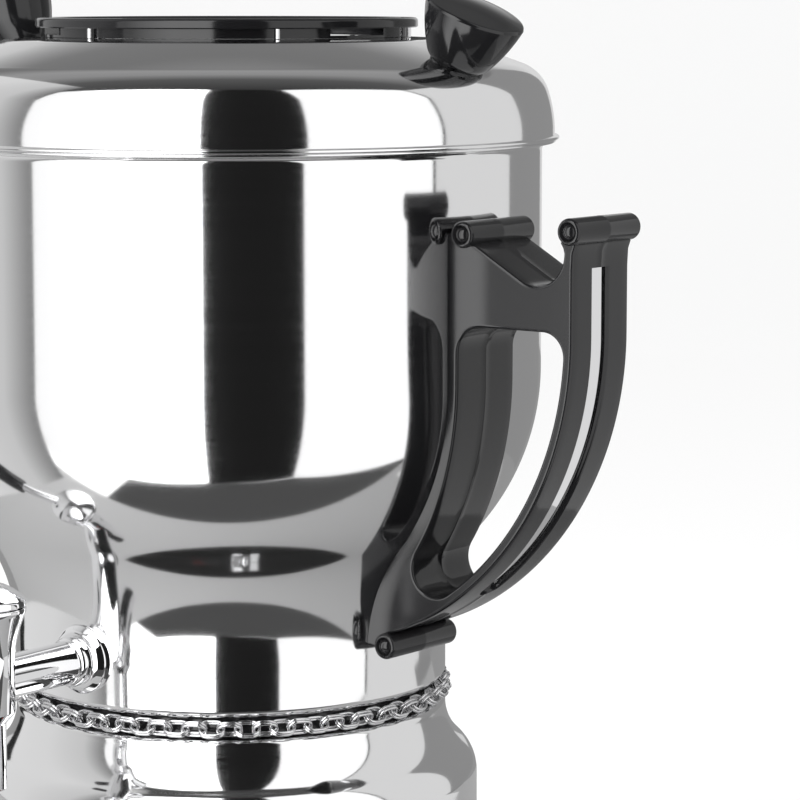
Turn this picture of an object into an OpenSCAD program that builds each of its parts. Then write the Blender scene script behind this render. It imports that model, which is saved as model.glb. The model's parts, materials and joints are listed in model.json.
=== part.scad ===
// Electric samovar with a domed lid, two side handles, a front tap and a waist chain.
// The origin is on the table under the centre line, +Z is up and the tap points along -Y.

/* [Vessel] */
// Outer radius of the water vessel
vessel_r = 110; // [100:1:125]
// Sheet thickness of the vessel
vessel_wall = 1; // [0.8:0.1:1.4]
// Height of the straight wall from the bowl to the rim
wall_h = 79.8; // [70:0.2:100]
// How far the rim flange stands out from the wall
rim_out = 4.8; // [4.2:0.1:6]
// Bend radius under the rim flange
rim_bend = 2.5; // [2:0.1:3]
// Height of the bowl and neck, from the vessel's underside to the straight wall
bowl_h = 110.5; // [106:0.1:118]
// Radius of the bowl's round side
bowl_bend = 85; // [78:1:90]
// Angle that the bowl turns through before it hollows to the neck
bowl_turn = 40; // [38:0.5:42]
// How far the neck draws in from the vessel's wall
neck_in = 33.5; // [31:0.5:36]
// Height of the vessel's underside
vessel_foot_z = 108.9; // [108.5:0.1:112]
// Corner radius at the foot of the neck
neck_corner = 2.8; // [2.2:0.1:3.2]

/* [Base] */
// How far the drum stands out from the neck
drum_out = 11.4; // [10:0.1:14]
// Sheet thickness of the drum
drum_wall = 1; // [0.8:0.1:1.4]
// Height of the flange that carries the waist ring
shoulder_top_z = 101.6; // [100:0.1:102]
// Corner radius at the top of the shoulder
shoulder_corner = 2.2; // [1.6:0.1:2.6]
// Height where the shoulder starts to flare
flare_z = 99.4; // [97:0.1:99.8]
// Angle that each half of the flare turns through
flare_turn = 47; // [44:1:50]
// Radius of the hollow upper half of the flare
flare_in_bend = 20; // [17:0.5:22]
// How far the opening in the top of the drum lies inside the neck
drum_mouth_in = 10.5; // [9.5:0.5:12.5]
// Height of the drum's lower edge
drum_foot_z = 19; // [17:0.5:22]
// How far the black base ring stands out from the drum
base_ring_out = 3.6; // [3:0.1:7]
// Height of the base ring's upper edge
base_ring_top_z = 23; // [22.5:0.5:27]
// Height of the bottom plate's underside
plate_z = 6; // [5:0.5:8]
// Thickness of the bottom plate
plate_t = 1.2; // [1:0.1:2]
// How far the bottom plate's edge lies inside the drum
plate_in = 4.9; // [3.9:0.1:6.9]
// Width of the rubber ring that the base stands on
foot_w = 14; // [12:0.5:16]
// How far the middle of the rubber ring lies inside the bottom plate's edge
foot_in = 13; // [12:0.5:17]
// Number of screws that hold the rubber ring
foot_count = 4; // [3:1:6]
// Number of air slots in the bottom plate
slot_count = 12; // [8:1:16]

/* [Waist] */
// How far the ring between vessel and drum lies inside the neck
waist_in = 4; // [4:0.1:5]
// Width of the ring between vessel and drum
waist_w = 4.5; // [3.5:0.5:5.5]
// How far the circle that the chain lies on is inside the neck
chain_in = 0.8; // [0.3:0.1:0.8]
// Distance from one pair of links to the next
link_pitch = 5.945; // [5.8:0.005:6.1]
// Wire diameter of a link
link_wire = 1; // [0.8:0.05:1]
// Outer length of a link
link_length = 8.7; // [8.5:0.1:9]
// Outer width of a link
link_width = 5.8; // [5.4:0.1:5.8]
// Gap between the two links of a pair
pair_gap = 0.1; // [0.05:0.05:0.15]

/* [Lid] */
// How far the lid's side stands out from the vessel's wall
lid_over = 4.4; // [4.2:0.1:4.7]
// Sheet thickness of the lid
lid_wall = 1; // [0.8:0.1:1.2]
// How far the lid's lip stands out from its side
lid_lip_out = 1.6; // [1.2:0.1:2]
// Height where the lid's side starts to lean in, above the rim
lid_side_h = 2.3; // [2:0.1:5]
// Radius of the curve in the lid's side
lid_side_bend = 47; // [40:1:60]
// Angle that the lid's side turns through
lid_side_turn = 18; // [15:0.5:21]
// Corner radius between the lid's side and its brow
lid_corner = 15; // [13:0.5:17]
// Slope of the brow
brow_slope = 18; // [16:0.5:20]
// Width of the brow
brow_w = 25.1; // [23:0.1:28]
// Radius of the bend between the brow and the crown
brow_bend = 20; // [15:1:25]
// Radius of the crown's low dome
crown_bend = 1400; // [1000:50:2000]
// Radius of the steam opening in the crown
steam_r = 48; // [44:0.5:52]
// Depth of the collar around the steam opening
steam_collar = 7; // [5:0.5:9]
// Play between the lid's seat ring and the vessel
seat_play = 0.6; // [0.4:0.1:1]
// How far the seat ring reaches into the vessel
seat_depth = 9; // [7:0.5:12]
// How far the seat ring stands up inside the lid
seat_rise = 3; // [2:0.5:5]

/* [Vent ring] */
// Outer radius of the flange that carries a teapot
vent_flange_r = 66.6; // [66.4:0.1:69]
// How far the flange stands out from the wall under it
vent_flange_out = 3.4; // [3.2:0.1:4.2]
// Thickness of the wall under the flange
vent_wall = 5; // [4.6:0.1:6]
// Height of the flange's underside above the lid's crown at the wall
vent_gap = 3.3; // [3.1:0.1:5]
// Thickness of the flange
vent_flange_t = 3.4; // [3:0.1:4.5]
// Number of steam windows in the wall, with two posts to each
window_count = 3; // [3:1:4]
// Width of a steam window
window_w = 26; // [18:1:28]
// Height of a steam window
window_h = 2.4; // [2:0.1:2.8]
// Radius of a post under the flange
post_r = 0.8; // [0.6:0.1:1]
// Turn of the first post from the tap's direction
vent_turn = -4; // [-8:1:8]

/* [Lid knobs] */
// Distance of a knob's base from the lid's side
knob_in = 14.4; // [14:0.1:18]
// Lean of a knob away from the centre line
knob_lean = 25; // [20:1:28]
// Length of a knob above the lid
knob_len = 19.4; // [17:0.2:23]
// Radius of a knob at the lid
knob_foot_r = 9.8; // [8.5:0.1:10.5]
// Radius of a knob at its top
knob_top_r = 17; // [15:0.5:18]
// How far a knob's side bulges
knob_bulge = 0.9; // [0.4:0.1:1.2]
// Rise of the crown on a knob's top
knob_crown = 1.6; // [1.2:0.1:2.4]

/* [Handles] */
// Width of a handle's limbs
handle_w = 32; // [28:0.5:34]
// Length of the rolls at a handle's ends
roll_len = 35.8; // [35:0.2:40]
// Radius of the rolls
roll_r = 4.4; // [4:0.1:4.6]
// Distance of the inner roll from the vessel's wall
inner_roll_out = 5.5; // [4.9:0.1:6.5]
// Height of the inner roll above the bowl
inner_roll_up = 52.3; // [50:0.1:55]
// Height of the outer roll above the bowl
outer_roll_up = 55.1; // [53:0.1:59]
// Distance of the outer roll's centre from the arm's face
outer_roll_out = -0.6; // [-1:0.1:0.4]
// Thickness of the limb that lies on the vessel
limb_t = 2.5; // [2.2:0.1:3.4]
// Radius of the limb's hollow side, which faces the fingers
limb_bend = 110; // [106:1:114]
// Height above the bowl where the limb's hollow side starts to curve
limb_up = 3.1; // [1:0.1:6]
// How far the arm's centre of curve lies inside the vessel's wall
arm_in = 62.5; // [61:0.5:64]
// Height of the arm's centre of curve above the bowl
arm_up = 20.6; // [19:0.1:22]
// Inner radius of the arm's curve
arm_bend = 107.2; // [106:0.1:108.5]
// Thickness of the arm
arm_t = 3.6; // [3.4:0.1:4.4]
// Height of the bridge's underside above the bowl
bridge_up = 22.3; // [21:0.1:25]
// Height of the dip in the bridge's upper edge above the bowl
dip_up = 37; // [35:0.1:39]
// Radius of the dip
dip_bend = 11; // [9:0.5:12]
// Slope of the bridge's upper edge
bridge_slope = 29.5; // [27:0.5:33]
// Corner radius of the finger gap beside the vessel
gap_inner_corner = 9.5; // [7:0.5:10]
// Corner radius of the finger gap beside the arm
gap_outer_corner = 8; // [6:0.5:9]
// Corner radius at the bottom of the finger gap
gap_foot_corner = 9; // [7:0.5:9.5]
// Angle along the arm where the bottom roll sits
foot_roll_angle = -70.9; // [-71.5:0.1:-70]
// How far the bottom roll's centre stands out from the arm
foot_roll_out = 3.6; // [3.2:0.1:4]
// Width of the bright inlay in the arm
inlay_w = 9.4; // [7:0.1:11]
// Thickness of the inlay
inlay_t = 0.8; // [0.6:0.1:1.2]
// Depth of the groove that holds the inlay
groove_depth = 2.2; // [1.6:0.1:2.4]
// Height of the groove's upper end above the bowl
groove_up = 42.9; // [40:0.1:45]
// Angle along the arm where the groove ends
groove_end_angle = -52; // [-54:1:-48]
// Height of the upper handle screws above the bowl
screw_up = 32.6; // [29:0.1:36]
// Height of the lower handle screws above the vessel's underside
screw_low_up = 34.1; // [32:0.1:36]
// Radius of a handle screw
screw_r = 2.5; // [2:0.1:2.6]

/* [Tap] */
// Height of the tap's pipe above the vessel's underside
tap_up = 17.3; // [16:0.1:20]
// Distance of the valve from the neck
tap_reach = 45.5; // [42:0.5:54]
// Radius of the tap's pipe
pipe_r = 7.25; // [6.8:0.05:7.6]
// Radius of the water way through the pipe
water_r = 4; // [3.6:0.1:4.2]
// Radius of the escutcheon
escutcheon_r = 11.8; // [11:0.1:13]
// Thickness of the escutcheon at its edge
escutcheon_t = 4; // [3:0.1:5]
// Radius of the boss in front of the escutcheon
boss_r = 8.6; // [8.2:0.1:9.5]
// Length of the boss in front of the escutcheon
boss_len = 4.5; // [3:0.1:6]
// Radius of the valve's barrel
barrel_r = 9.5; // [9.2:0.1:10.5]
// Radius of the barrel's flared top
barrel_top_r = 13.5; // [12.5:0.1:15]
// Height of the barrel's top above the pipe
barrel_rise = 25; // [23:0.5:30]
// Depth of the barrel below the pipe
barrel_drop = 12; // [11:0.5:14]
// Radius of the turning plug
plug_r = 6; // [5.7:0.1:6.2]
// Radial running clearance of the turning pieces
running_fit = 0.05; // [0.03:0.01:0.08]
// Radius of the spout
spout_r = 6.4; // [6:0.1:7]
// Length of the spout below the barrel
spout_len = 24; // [18:0.5:30]
// Height of the domed hub on the valve
hub_h = 8; // [7:0.5:10]
// Length of the lever from the valve's axis
lever_len = 46; // [42:1:56]
// Slope of the lever
lever_rise = 20; // [14:1:24]

/* [Controls] */
// Height of the thermostat knob's axis
dial_z = 47; // [42:0.5:50]
// Angle of the thermostat knob from the tap's direction
dial_angle = 48; // [46:1:60]
// Radius of the thermostat knob
dial_r = 12; // [11:0.5:14]
// Length of the thermostat knob
dial_len = 14; // [12:0.5:16]
// Radius of the thermostat's shaft
shaft_r = 3; // [2.6:0.1:3.2]
// Radius of the thermostat's threaded bush
bush_r = 4.6; // [4.4:0.1:5]
// Angle of the pilot lamp from the tap's direction
lamp_angle = 24; // [20:1:26]
// Radius of the pilot lamp's lens
lamp_r = 4; // [3.5:0.1:4.5]
// Height of the power inlet's centre
inlet_z = 46; // [42:0.5:50]
// Width of the power inlet's socket
inlet_w = 24; // [23:0.5:25]
// Height of the power inlet's socket
inlet_h = 16; // [15.5:0.5:17]
// Depth of the power inlet's socket
inlet_d = 17; // [16:0.5:18]
// How far the power inlet stands out from the drum
inlet_out = 2.4; // [2:0.1:3]
// Wall thickness of the power inlet
inlet_wall = 2; // [1.6:0.1:2.4]
// Width of the power inlet's flange
inlet_flange = 3; // [2:0.5:4]
// Width of the thermostat's body
thermostat_w = 34; // [30:1:38]
// Depth of the thermostat's body
thermostat_d = 20; // [16:1:24]
// Height of the thermostat's body
thermostat_h = 28; // [24:1:32]

/* [Heater] */
// How far the heat spreading plate's edge lies inside the neck
spreader_in = 16.5; // [14.5:0.5:20]
// Thickness of the heat spreading plate
spreader_t = 4.5; // [4:0.1:5.5]
// How far the heating element's loop lies inside the spreading plate's edge
element_in = 16; // [12:0.5:20]
// Radius of the heating element's tube
element_tube = 4; // [3.4:0.1:4.4]
// Angle left open between the ends of the loop
element_open = 60; // [50:5:80]
// Radius of the tie rod
rod_r = 3; // [2.8:0.1:4]

/* [Fits] */
// Gap between fixed pieces that lie on a curved face
seat_gap = 0.1; // [0.05:0.01:0.2]
// Gap between a screw or pin and its hole
hole_gap = 0.15; // [0.1:0.01:0.25]
// Gap between pieces that must stay clear of each other
clear_gap = 0.3; // [0.2:0.05:0.5]
// Gap between a thread and its nut
thread_gap = 0.05; // [0.03:0.01:0.08]
// Gap between pieces that are pressed together
press_gap = 0.03; // [0.02:0.01:0.05]

/* [Hidden] */
$fn = 72;
arc_steps = 16;
reach = 400;

steel = "#d9dbdc";
bright = "#eceeef";
black = "#1d1d1f";
rubber = "#2b2b2d";
brass = "#c9a24b";
alloy = "#b9bcc0";
ceramic = "#e8e4da";

// Bowl and neck
neck_r = vessel_r - neck_in;
bowl_top_z = vessel_foot_z + bowl_h;
rim_z = bowl_top_z + wall_h;
neck_bend = (vessel_r - neck_r) / (1 - cos(bowl_turn)) - bowl_bend;
neck_top_z = bowl_top_z - (bowl_bend + neck_bend) * sin(bowl_turn);
bowl_centre = [vessel_r - bowl_bend, bowl_top_z];

// Drum and waist
drum_r = neck_r + drum_out;
drum_mouth_r = neck_r - drum_mouth_in;
waist_r = neck_r - waist_in;
chain_r = neck_r - chain_in;
chain_z = (shoulder_top_z + vessel_foot_z) / 2 + 0.15;
chain_pairs = round(PI * chain_r / link_pitch);
flare_out_bend = (drum_r - neck_r) / (1 - cos(flare_turn)) - flare_in_bend;
flare_end_z = flare_z - (flare_in_bend + flare_out_bend) * sin(flare_turn);

// Side, brow and crown of the lid
lid_r = vessel_r + lid_over;
knob_at = lid_r - knob_in;
lid_side_centre = [lid_r - lid_side_bend, rim_z + lid_side_h];
lid_corner_centre =
    lid_side_centre + (lid_side_bend - lid_corner) * [cos(lid_side_turn), sin(lid_side_turn)];
brow_foot = lid_corner_centre + lid_corner * [sin(brow_slope), cos(brow_slope)];
brow_top = brow_foot + brow_w * [-1, tan(brow_slope)];
crown_slope = asin(brow_top[0] / crown_bend);
crown_centre_z = brow_top[1] - crown_bend * cos(crown_slope);
brow_tangent = brow_bend * tan((brow_slope - crown_slope) / 2);
brow_centre = brow_top + brow_tangent * [cos(brow_slope), -sin(brow_slope)]
              - brow_bend * [sin(brow_slope), cos(brow_slope)];

// Handle
arm_at = vessel_r - arm_in;
arm_centre = [arm_at, bowl_top_z + arm_up];
arm_outer = arm_bend + arm_t;
limb_r = vessel_r + limb_t;
limb_centre = [limb_r - limb_bend, bowl_top_z + limb_up];
arm_in_r = arm_at + arm_bend;
arm_out_r = arm_at + arm_outer;
inner_roll = [vessel_r + inner_roll_out, bowl_top_z + inner_roll_up];
outer_roll = [arm_out_r + outer_roll_out, bowl_top_z + outer_roll_up];
foot_roll = arm_centre + (arm_outer + foot_roll_out) * [cos(foot_roll_angle), sin(foot_roll_angle)];
dip_centre = [arm_in_r - dip_bend, bowl_top_z + dip_up + dip_bend];
bridge_z = bowl_top_z + bridge_up;
groove_top_z = bowl_top_z + groove_up;
handle_root = 8;
groove_clear = 2;
button_in = 1.3;
button_out = 0.5;
roll_lap = 2;
gap_foot = meet(arm_centre, arm_bend - gap_foot_corner,
                limb_centre, limb_bend + gap_foot_corner);
screw_top_z = bowl_top_z + screw_up;
screw_low_z = vessel_foot_z + screw_low_up;
screw_head_w = 2;
screw_head_r = screw_r + screw_head_w;
screw_head_h = 2.4;
seal_t = 1.6;
seal_w = 1;
seal_room = 2;
screw_len = 9;

// Tap
tap_z = vessel_foot_z + tap_up;
tap_at = neck_r + tap_reach;
escutcheon_face = neck_r + escutcheon_t;
barrel_foot_z = tap_z - barrel_drop;
barrel_top_z = tap_z + barrel_rise;
spout_foot_z = barrel_foot_z - spout_len;
plug_floor = 3;
plug_rise = 11;
plug_foot_z = barrel_foot_z + plug_floor;
plug_top_z = tap_z + plug_rise;
end_play = 0.1;
stem_step = 2;
stem_r = plug_r - stem_step;
stem_grip = 0.6 * hub_h;
gland_t = 5;
gland_w = 1.2;
gland_r = plug_r + gland_w;
seal_wire = 1.6;
seal_drop = 4;
thread_depth = 0.6;
tail_r = pipe_r - thread_depth;
tail_len = 19;
tail_end = neck_r - tail_len;
nut_t = 5;
nut_w = 5;
nut_r = tail_r + nut_w;
washer_t = 3;
washer_w = 1;
hub_z = barrel_top_z + clear_gap;
hub_rim = 2;
grip_len = 22;
grip_r = 4.4;
grip_widen = 0.8;
grip_hole = 6;
arm_rod_r = 2.6;

// Controls and wiring pieces
dial_gap = 1.6;
dial_face = drum_r + dial_gap;
dial_cap = 3;
dial_rim = 5;
nut_thin = 1.2;
bush_out = 2.4;
bush_nut_w = 2.4;
bush_gap = 0.4;
thermostat_gap = 3;
thermostat_front = drum_r - drum_wall - thermostat_gap;
shaft_tail = 8;
lamp_len = 14;
lamp_floor = 2;
lamp_wall = 1;
lamp_sink = 0.6;
inlet_face = drum_r + inlet_out;
inlet_back = inlet_face - inlet_d - inlet_wall;
pin_w = 2;
pin_h = 4;
pin_tail = 5;
pin_sink = 6;
inlet_pin_places = [[-7, -1.5], [0, 2.5], [7, -1.5]];

// Base
base_ring_r = drum_r + base_ring_out;
plate_r = drum_r - plate_in;
foot_at = plate_r - foot_in;
ring_drop = 1;
ledge_w = 6;
ledge_t = 2;
tie_nut_h = 3.6;
tie_nut_w = 2.8;
tie_end = 0.8;
foot_screw_r = 2;
foot_head_w = 1.6;
foot_head_h = 2;
foot_head_z = 1;
foot_nut_w = 2;
foot_nut_h = 2.6;

// Heater
spreader_r = neck_r - spreader_in;
element_r = spreader_r - element_in;
element_z = vessel_foot_z - spreader_t;

// Cutters run past the faces that they cut by this much
past = 1;
hole_reach = 12;

// Points along an arc from one angle to another
function arc(centre, r, from, to, steps = arc_steps) =
    [for (i = [0:steps]) let (a = from + (to - from) * i / steps) centre + r * [cos(a), sin(a)]];

// The lower right crossing point of two circles
function meet(a, ra, b, rb) =
    let (
        gap = b - a,
        d = norm(gap),
        along = (ra * ra - rb * rb + d * d) / (2 * d),
        side = sqrt(ra * ra - along * along),
        u = gap / d
    )
    a + along * u + side * [-u[1], u[0]];

// Angle of the line from one point to another
function bearing(from, to) = atan2(to[1] - from[1], to[0] - from[0]);

// Height of the lid's outer crown or brow at a distance from the centre line
function crown_z(r) =
    r < brow_top[0] ? crown_centre_z + sqrt(crown_bend * crown_bend - r * r)
                    : brow_foot[1] + (brow_foot[0] - r) * tan(brow_slope);

// Face of the lid from the foot of its side to a distance from the centre line, moved outwards
function lid_face(out, end) =
    let (
        brow_end = brow_centre[0] + (brow_bend + out) * sin(crown_slope),
        bend = crown_bend + out
    )
    concat(
        arc(lid_side_centre, lid_side_bend + out, 0, lid_side_turn, 6),
        arc(lid_corner_centre, lid_corner + out, lid_side_turn, 90 - brow_slope, 12),
        arc(brow_centre, brow_bend + out, 90 - brow_slope, 90 - crown_slope, 4),
        arc([0, crown_centre_z], bend, acos(brow_end / bend), acos(end / bend), 4)
    );

// Outer radius of the vessel at a height in the hollow of the neck
function neck_r_at(z) =
    z <= neck_top_z ? neck_r
                    : neck_r + neck_bend - sqrt(neck_bend * neck_bend - pow(z - neck_top_z, 2));

// Side of the vessel from the foot of the neck up to the rim's bend, moved outwards by a distance
function vessel_side(out) = concat(
    arc([neck_r - neck_corner, vessel_foot_z + neck_corner], neck_corner + out, -90, 0, 6),
    arc([neck_r + neck_bend, neck_top_z], neck_bend - out, 180, 180 - bowl_turn),
    arc(bowl_centre, bowl_bend + out, -bowl_turn, 0)
);

// Bend from the vessel's side to its rim, with its two faces
rim_centre = [vessel_r + rim_bend, rim_z - vessel_wall - rim_bend];

module vessel_section() {
    polygon(concat(
        [[0, vessel_foot_z]],
        vessel_side(0),
        arc(rim_centre, rim_bend, 180, 90, 6),
        [[vessel_r + rim_out, rim_z - vessel_wall], [vessel_r + rim_out, rim_z]],
        arc(rim_centre, rim_bend + vessel_wall, 90, 180, 6),
        reverse(vessel_side(-vessel_wall)),
        [[0, vessel_foot_z + vessel_wall]]
    ));
}

function reverse(list) = [for (i = [len(list) - 1:-1:0]) list[i]];

// Everything inside the vessel's outer face, grown by a gap
module vessel_envelope(gap) {
    rotate_extrude($fn = 360)
        polygon(concat(
            [[0, vessel_foot_z - gap]],
            vessel_side(gap),
            [[vessel_r + gap, rim_z], [0, rim_z]]
        ));
}

// Everything inside the vessel's inner face, shrunk by a gap
module vessel_inside(gap) {
    rotate_extrude($fn = 360)
        polygon(concat(
            [[0, vessel_foot_z + vessel_wall + gap]],
            vessel_side(-vessel_wall - gap),
            [[vessel_r - vessel_wall - gap, rim_z], [0, rim_z]]
        ));
}

// A cylinder along -Y from one distance to another, at a height
module out_rod(r, from, to, z, sides = $fn) {
    translate([0, -from, z])
        rotate([90, 0, 0])
            cylinder(r = r, h = to - from, $fn = sides);
}

// A cylinder along +X from one distance to another, at a height
module side_rod(r, from, to, z) {
    translate([from, 0, z])
        rotate([0, 90, 0])
            cylinder(r = r, h = to - from);
}

// Repeats a piece on the left and the right of the samovar
module on_both_sides() {
    for (turn = [0, 180])
        rotate(turn)
            children();
}

module vessel() {
    color(steel)
        difference() {
            rotate_extrude()
                vessel_section();
            out_rod(tail_r + hole_gap, neck_r - hole_reach, neck_r + hole_reach, tap_z);
            on_both_sides() {
                side_rod(screw_r + hole_gap, vessel_r - hole_reach, vessel_r + hole_reach, screw_top_z);
                side_rod(screw_r + hole_gap, neck_r - hole_reach, neck_r + hole_reach, screw_low_z);
            }
        }
}

module waist_ring() {
    color(black)
        translate([0, 0, shoulder_top_z])
            difference() {
                cylinder(r = waist_r, h = vessel_foot_z - shoulder_top_z);
                translate([0, 0, -past])
                    cylinder(r = waist_r - waist_w, h = vessel_foot_z - shoulder_top_z + 2 * past);
            }
}

// Places a piece of a link in the chain: every second pair lies flat, the others stand upright
module at_link(i, side) {
    rotate(i * 180 / chain_pairs)
        translate([0, -chain_r, chain_z])
            rotate([90 * (i % 2), 0, 0])
                translate([0, 0, side * (link_wire + pair_gap) / 2])
                    children();
}

// Each closed wire link has two round ends and two straight sides
module decor_chain() {
    bend = (link_width - link_wire) / 2;
    straight = (link_length - link_width) / 2;
    color(bright)
        for (i = [0:2 * chain_pairs - 1], side = [-1, 1], end = [0, 180]) {
            at_link(i, side)
                rotate(end - 90)
                    translate([0, straight, 0])
                        rotate_extrude(angle = 180, $fn = 24)
                            translate([bend, 0])
                                circle(d = link_wire, $fn = 16);
            at_link(i, side)
                rotate(end)
                    translate([-straight, bend, 0])
                        rotate([0, 90, 0])
                            cylinder(d = link_wire, h = 2 * straight, $fn = 16);
        }
}

// Side of the drum from its mouth down to its foot, moved outwards by a distance
function drum_side(out) = concat(
    arc([neck_r - shoulder_corner, shoulder_top_z - shoulder_corner], shoulder_corner + out, 90, 0, 6),
    arc([neck_r + flare_in_bend, flare_z], flare_in_bend - out, 180, 180 + flare_turn, 10),
    arc([drum_r - flare_out_bend, flare_end_z], flare_out_bend + out, flare_turn, 0, 10),
    [[drum_r + out, drum_foot_z]]
);

module base_shell() {
    color(steel)
        difference() {
            rotate_extrude()
                polygon(concat(
                    [[drum_mouth_r, shoulder_top_z]],
                    drum_side(0),
                    reverse(drum_side(-drum_wall)),
                    [[drum_mouth_r, shoulder_top_z - drum_wall]]
                ));
            rotate(dial_angle)
                out_rod(bush_r + hole_gap, drum_r - hole_reach, drum_r + hole_reach, dial_z);
            rotate(lamp_angle)
                out_rod(lamp_r + hole_gap, drum_r - hole_reach, drum_r + hole_reach, dial_z);
            inlet_block(inlet_wall + hole_gap, drum_r - hole_reach, drum_r + hole_reach);
        }
}

// The moulded ring has a groove that takes the drum's lower edge
module base_ring() {
    ledge_z = plate_z + plate_t;
    slot_out = drum_r + hole_gap;
    slot_in = drum_r - drum_wall - hole_gap;
    slot_z = drum_foot_z - seat_gap / 2;
    foot_z = plate_z - ring_drop;
    soft = 1.5;
    color(black)
        rotate_extrude()
            polygon(concat(
                [[plate_r - ledge_w, ledge_z], [plate_r + clear_gap, ledge_z], [plate_r + clear_gap, foot_z]],
                arc([base_ring_r - soft, foot_z + soft], soft, -90, 0, 4),
                arc([base_ring_r - soft, base_ring_top_z - soft], soft, 0, 90, 4),
                [[slot_out, base_ring_top_z], [slot_out, slot_z], [slot_in, slot_z],
                 [slot_in, base_ring_top_z], [slot_in - ledge_t, base_ring_top_z],
                 [slot_in - ledge_t, ledge_z + ledge_t], [plate_r - ledge_w, ledge_z + ledge_t]]
            ));
}

module at_feet() {
    for (i = [0:foot_count - 1])
        rotate(180 / foot_count + i * 360 / foot_count)
            translate([foot_at, 0, 0])
                children();
}

module base_plate() {
    slot_w = 4;
    slot_from = 28;
    slot_to = 48;
    color(steel)
        difference() {
            translate([0, 0, plate_z])
                cylinder(r = plate_r, h = plate_t);
            translate([0, 0, plate_z - past])
                cylinder(r = rod_r + hole_gap, h = plate_t + 2 * past);
            translate([0, 0, plate_z - past])
                at_feet()
                    cylinder(r = foot_screw_r + hole_gap, h = plate_t + 2 * past);
            for (i = [0:slot_count - 1])
                rotate(i * 360 / slot_count)
                    translate([slot_from, -slot_w / 2, plate_z - past])
                        cube([slot_to - slot_from, slot_w, plate_t + 2 * past]);
        }
}

module foot_ring() {
    soft = 1;
    pocket_r = foot_screw_r + foot_head_w + 2 * hole_gap;
    inner = foot_at - foot_w / 2;
    outer = foot_at + foot_w / 2;
    color(rubber)
        difference() {
            rotate_extrude()
                polygon([[inner + soft, 0], [outer - soft, 0], [outer, soft], [outer, plate_z],
                         [inner, plate_z], [inner, soft]]);
            at_feet()
                translate([0, 0, -past])
                    cylinder(r = pocket_r, h = foot_head_z + foot_head_h + past);
            at_feet()
                translate([0, 0, -past])
                    cylinder(r = foot_screw_r + hole_gap, h = plate_z + 2 * past);
        }
}

module foot_screws() {
    color(steel)
        at_feet() {
            translate([0, 0, foot_head_z])
                cylinder(r = foot_screw_r + foot_head_w, h = foot_head_h);
            translate([0, 0, foot_head_z])
                cylinder(r = foot_screw_r, h = plate_z + plate_t + foot_nut_h);
        }
}

module foot_nuts() {
    color(steel)
        translate([0, 0, plate_z + plate_t])
            at_feet()
                difference() {
                    cylinder(r = foot_screw_r + foot_nut_w, h = foot_nut_h, $fn = 6);
                    translate([0, 0, -past])
                        cylinder(r = foot_screw_r + thread_gap, h = foot_nut_h + 2 * past);
                }
}

// Threaded rod from the vessel's underside through the bottom plate
module tie_rod() {
    color(steel)
        translate([0, 0, plate_z - tie_nut_h - tie_end])
            cylinder(r = rod_r, h = vessel_foot_z - plate_z + tie_nut_h + tie_end);
}

module tie_nut() {
    color(steel)
        translate([0, 0, plate_z - tie_nut_h])
            difference() {
                cylinder(r = rod_r + tie_nut_w, h = tie_nut_h, $fn = 6);
                translate([0, 0, -past])
                    cylinder(r = rod_r + thread_gap, h = tie_nut_h + 2 * past);
            }
}

// The loop of the heating element, grown by a gap
module element_loop(gap) {
    translate([0, 0, element_z])
        rotate(90 + element_open / 2)
            rotate_extrude(angle = 360 - element_open)
                translate([element_r, 0])
                    circle(r = element_tube + gap, $fn = 32);
}

module at_element_ends() {
    for (side = [-1, 1])
        rotate(90 + side * element_open / 2)
            translate([element_r, 0, element_z])
                children();
}

module heat_plate() {
    end_room = 1;
    color(alloy)
        difference() {
            translate([0, 0, element_z])
                cylinder(r = spreader_r, h = spreader_t);
            element_loop(seat_gap);
            at_element_ends()
                cylinder(r = element_tube + end_room, h = 2 * (element_tube + end_room), center = true);
            translate([0, 0, element_z - past])
                cylinder(r = rod_r + hole_gap, h = spreader_t + 2 * past);
        }
}

// The pins hang down from the tube, close to its ends
module heating_element() {
    pin_len = 12;
    pin_r = 2.4;
    pin_back = 1.5 * element_tube;
    color(steel) {
        element_loop(0);
        for (side = [-1, 1])
            rotate(90 + side * (element_open / 2 + asin(pin_back / element_r)))
                translate([element_r, 0, element_z - pin_len])
                    cylinder(r = pin_r, h = pin_len);
    }
}

module thermal_cutout() {
    cap_r = 8;
    cap_h = 7;
    tail_in = 1.5;
    tail_h = 4;
    color(alloy)
        translate([0, -element_r / 2, element_z - cap_h])
            cylinder(r = cap_r, h = cap_h);
    color(black)
        translate([0, -element_r / 2, element_z - cap_h - tail_h])
            cylinder(r = cap_r - tail_in, h = tail_h);
}

module terminal_block() {
    block = [34, 14, 12];
    ways = 3;
    way_r = 2.6;
    floor_t = 3;
    place = 26;
    color(ceramic)
        translate([-block[0] / 2, place, plate_z + plate_t])
            difference() {
                cube(block);
                for (i = [0:ways - 1])
                    translate([block[0] * (i + 0.5) / ways, block[1] / 2, floor_t])
                        cylinder(r = way_r, h = block[2]);
            }
}

// A block along +Y from one distance to another, larger all round than the inlet's socket
module inlet_block(grow, from, to) {
    w = inlet_w + 2 * grow;
    h = inlet_h + 2 * grow;
    translate([-w / 2, from, inlet_z - h / 2])
        cube([w, to - from, h]);
}

// Places blades in the power inlet
module inlet_blades(grow, from, to) {
    w = pin_w + 2 * grow;
    h = pin_h + 2 * grow;
    for (at = inlet_pin_places)
        translate([at[0] - w / 2, from, inlet_z + at[1] - h / 2])
            cube([w, to - from, h]);
}

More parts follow.
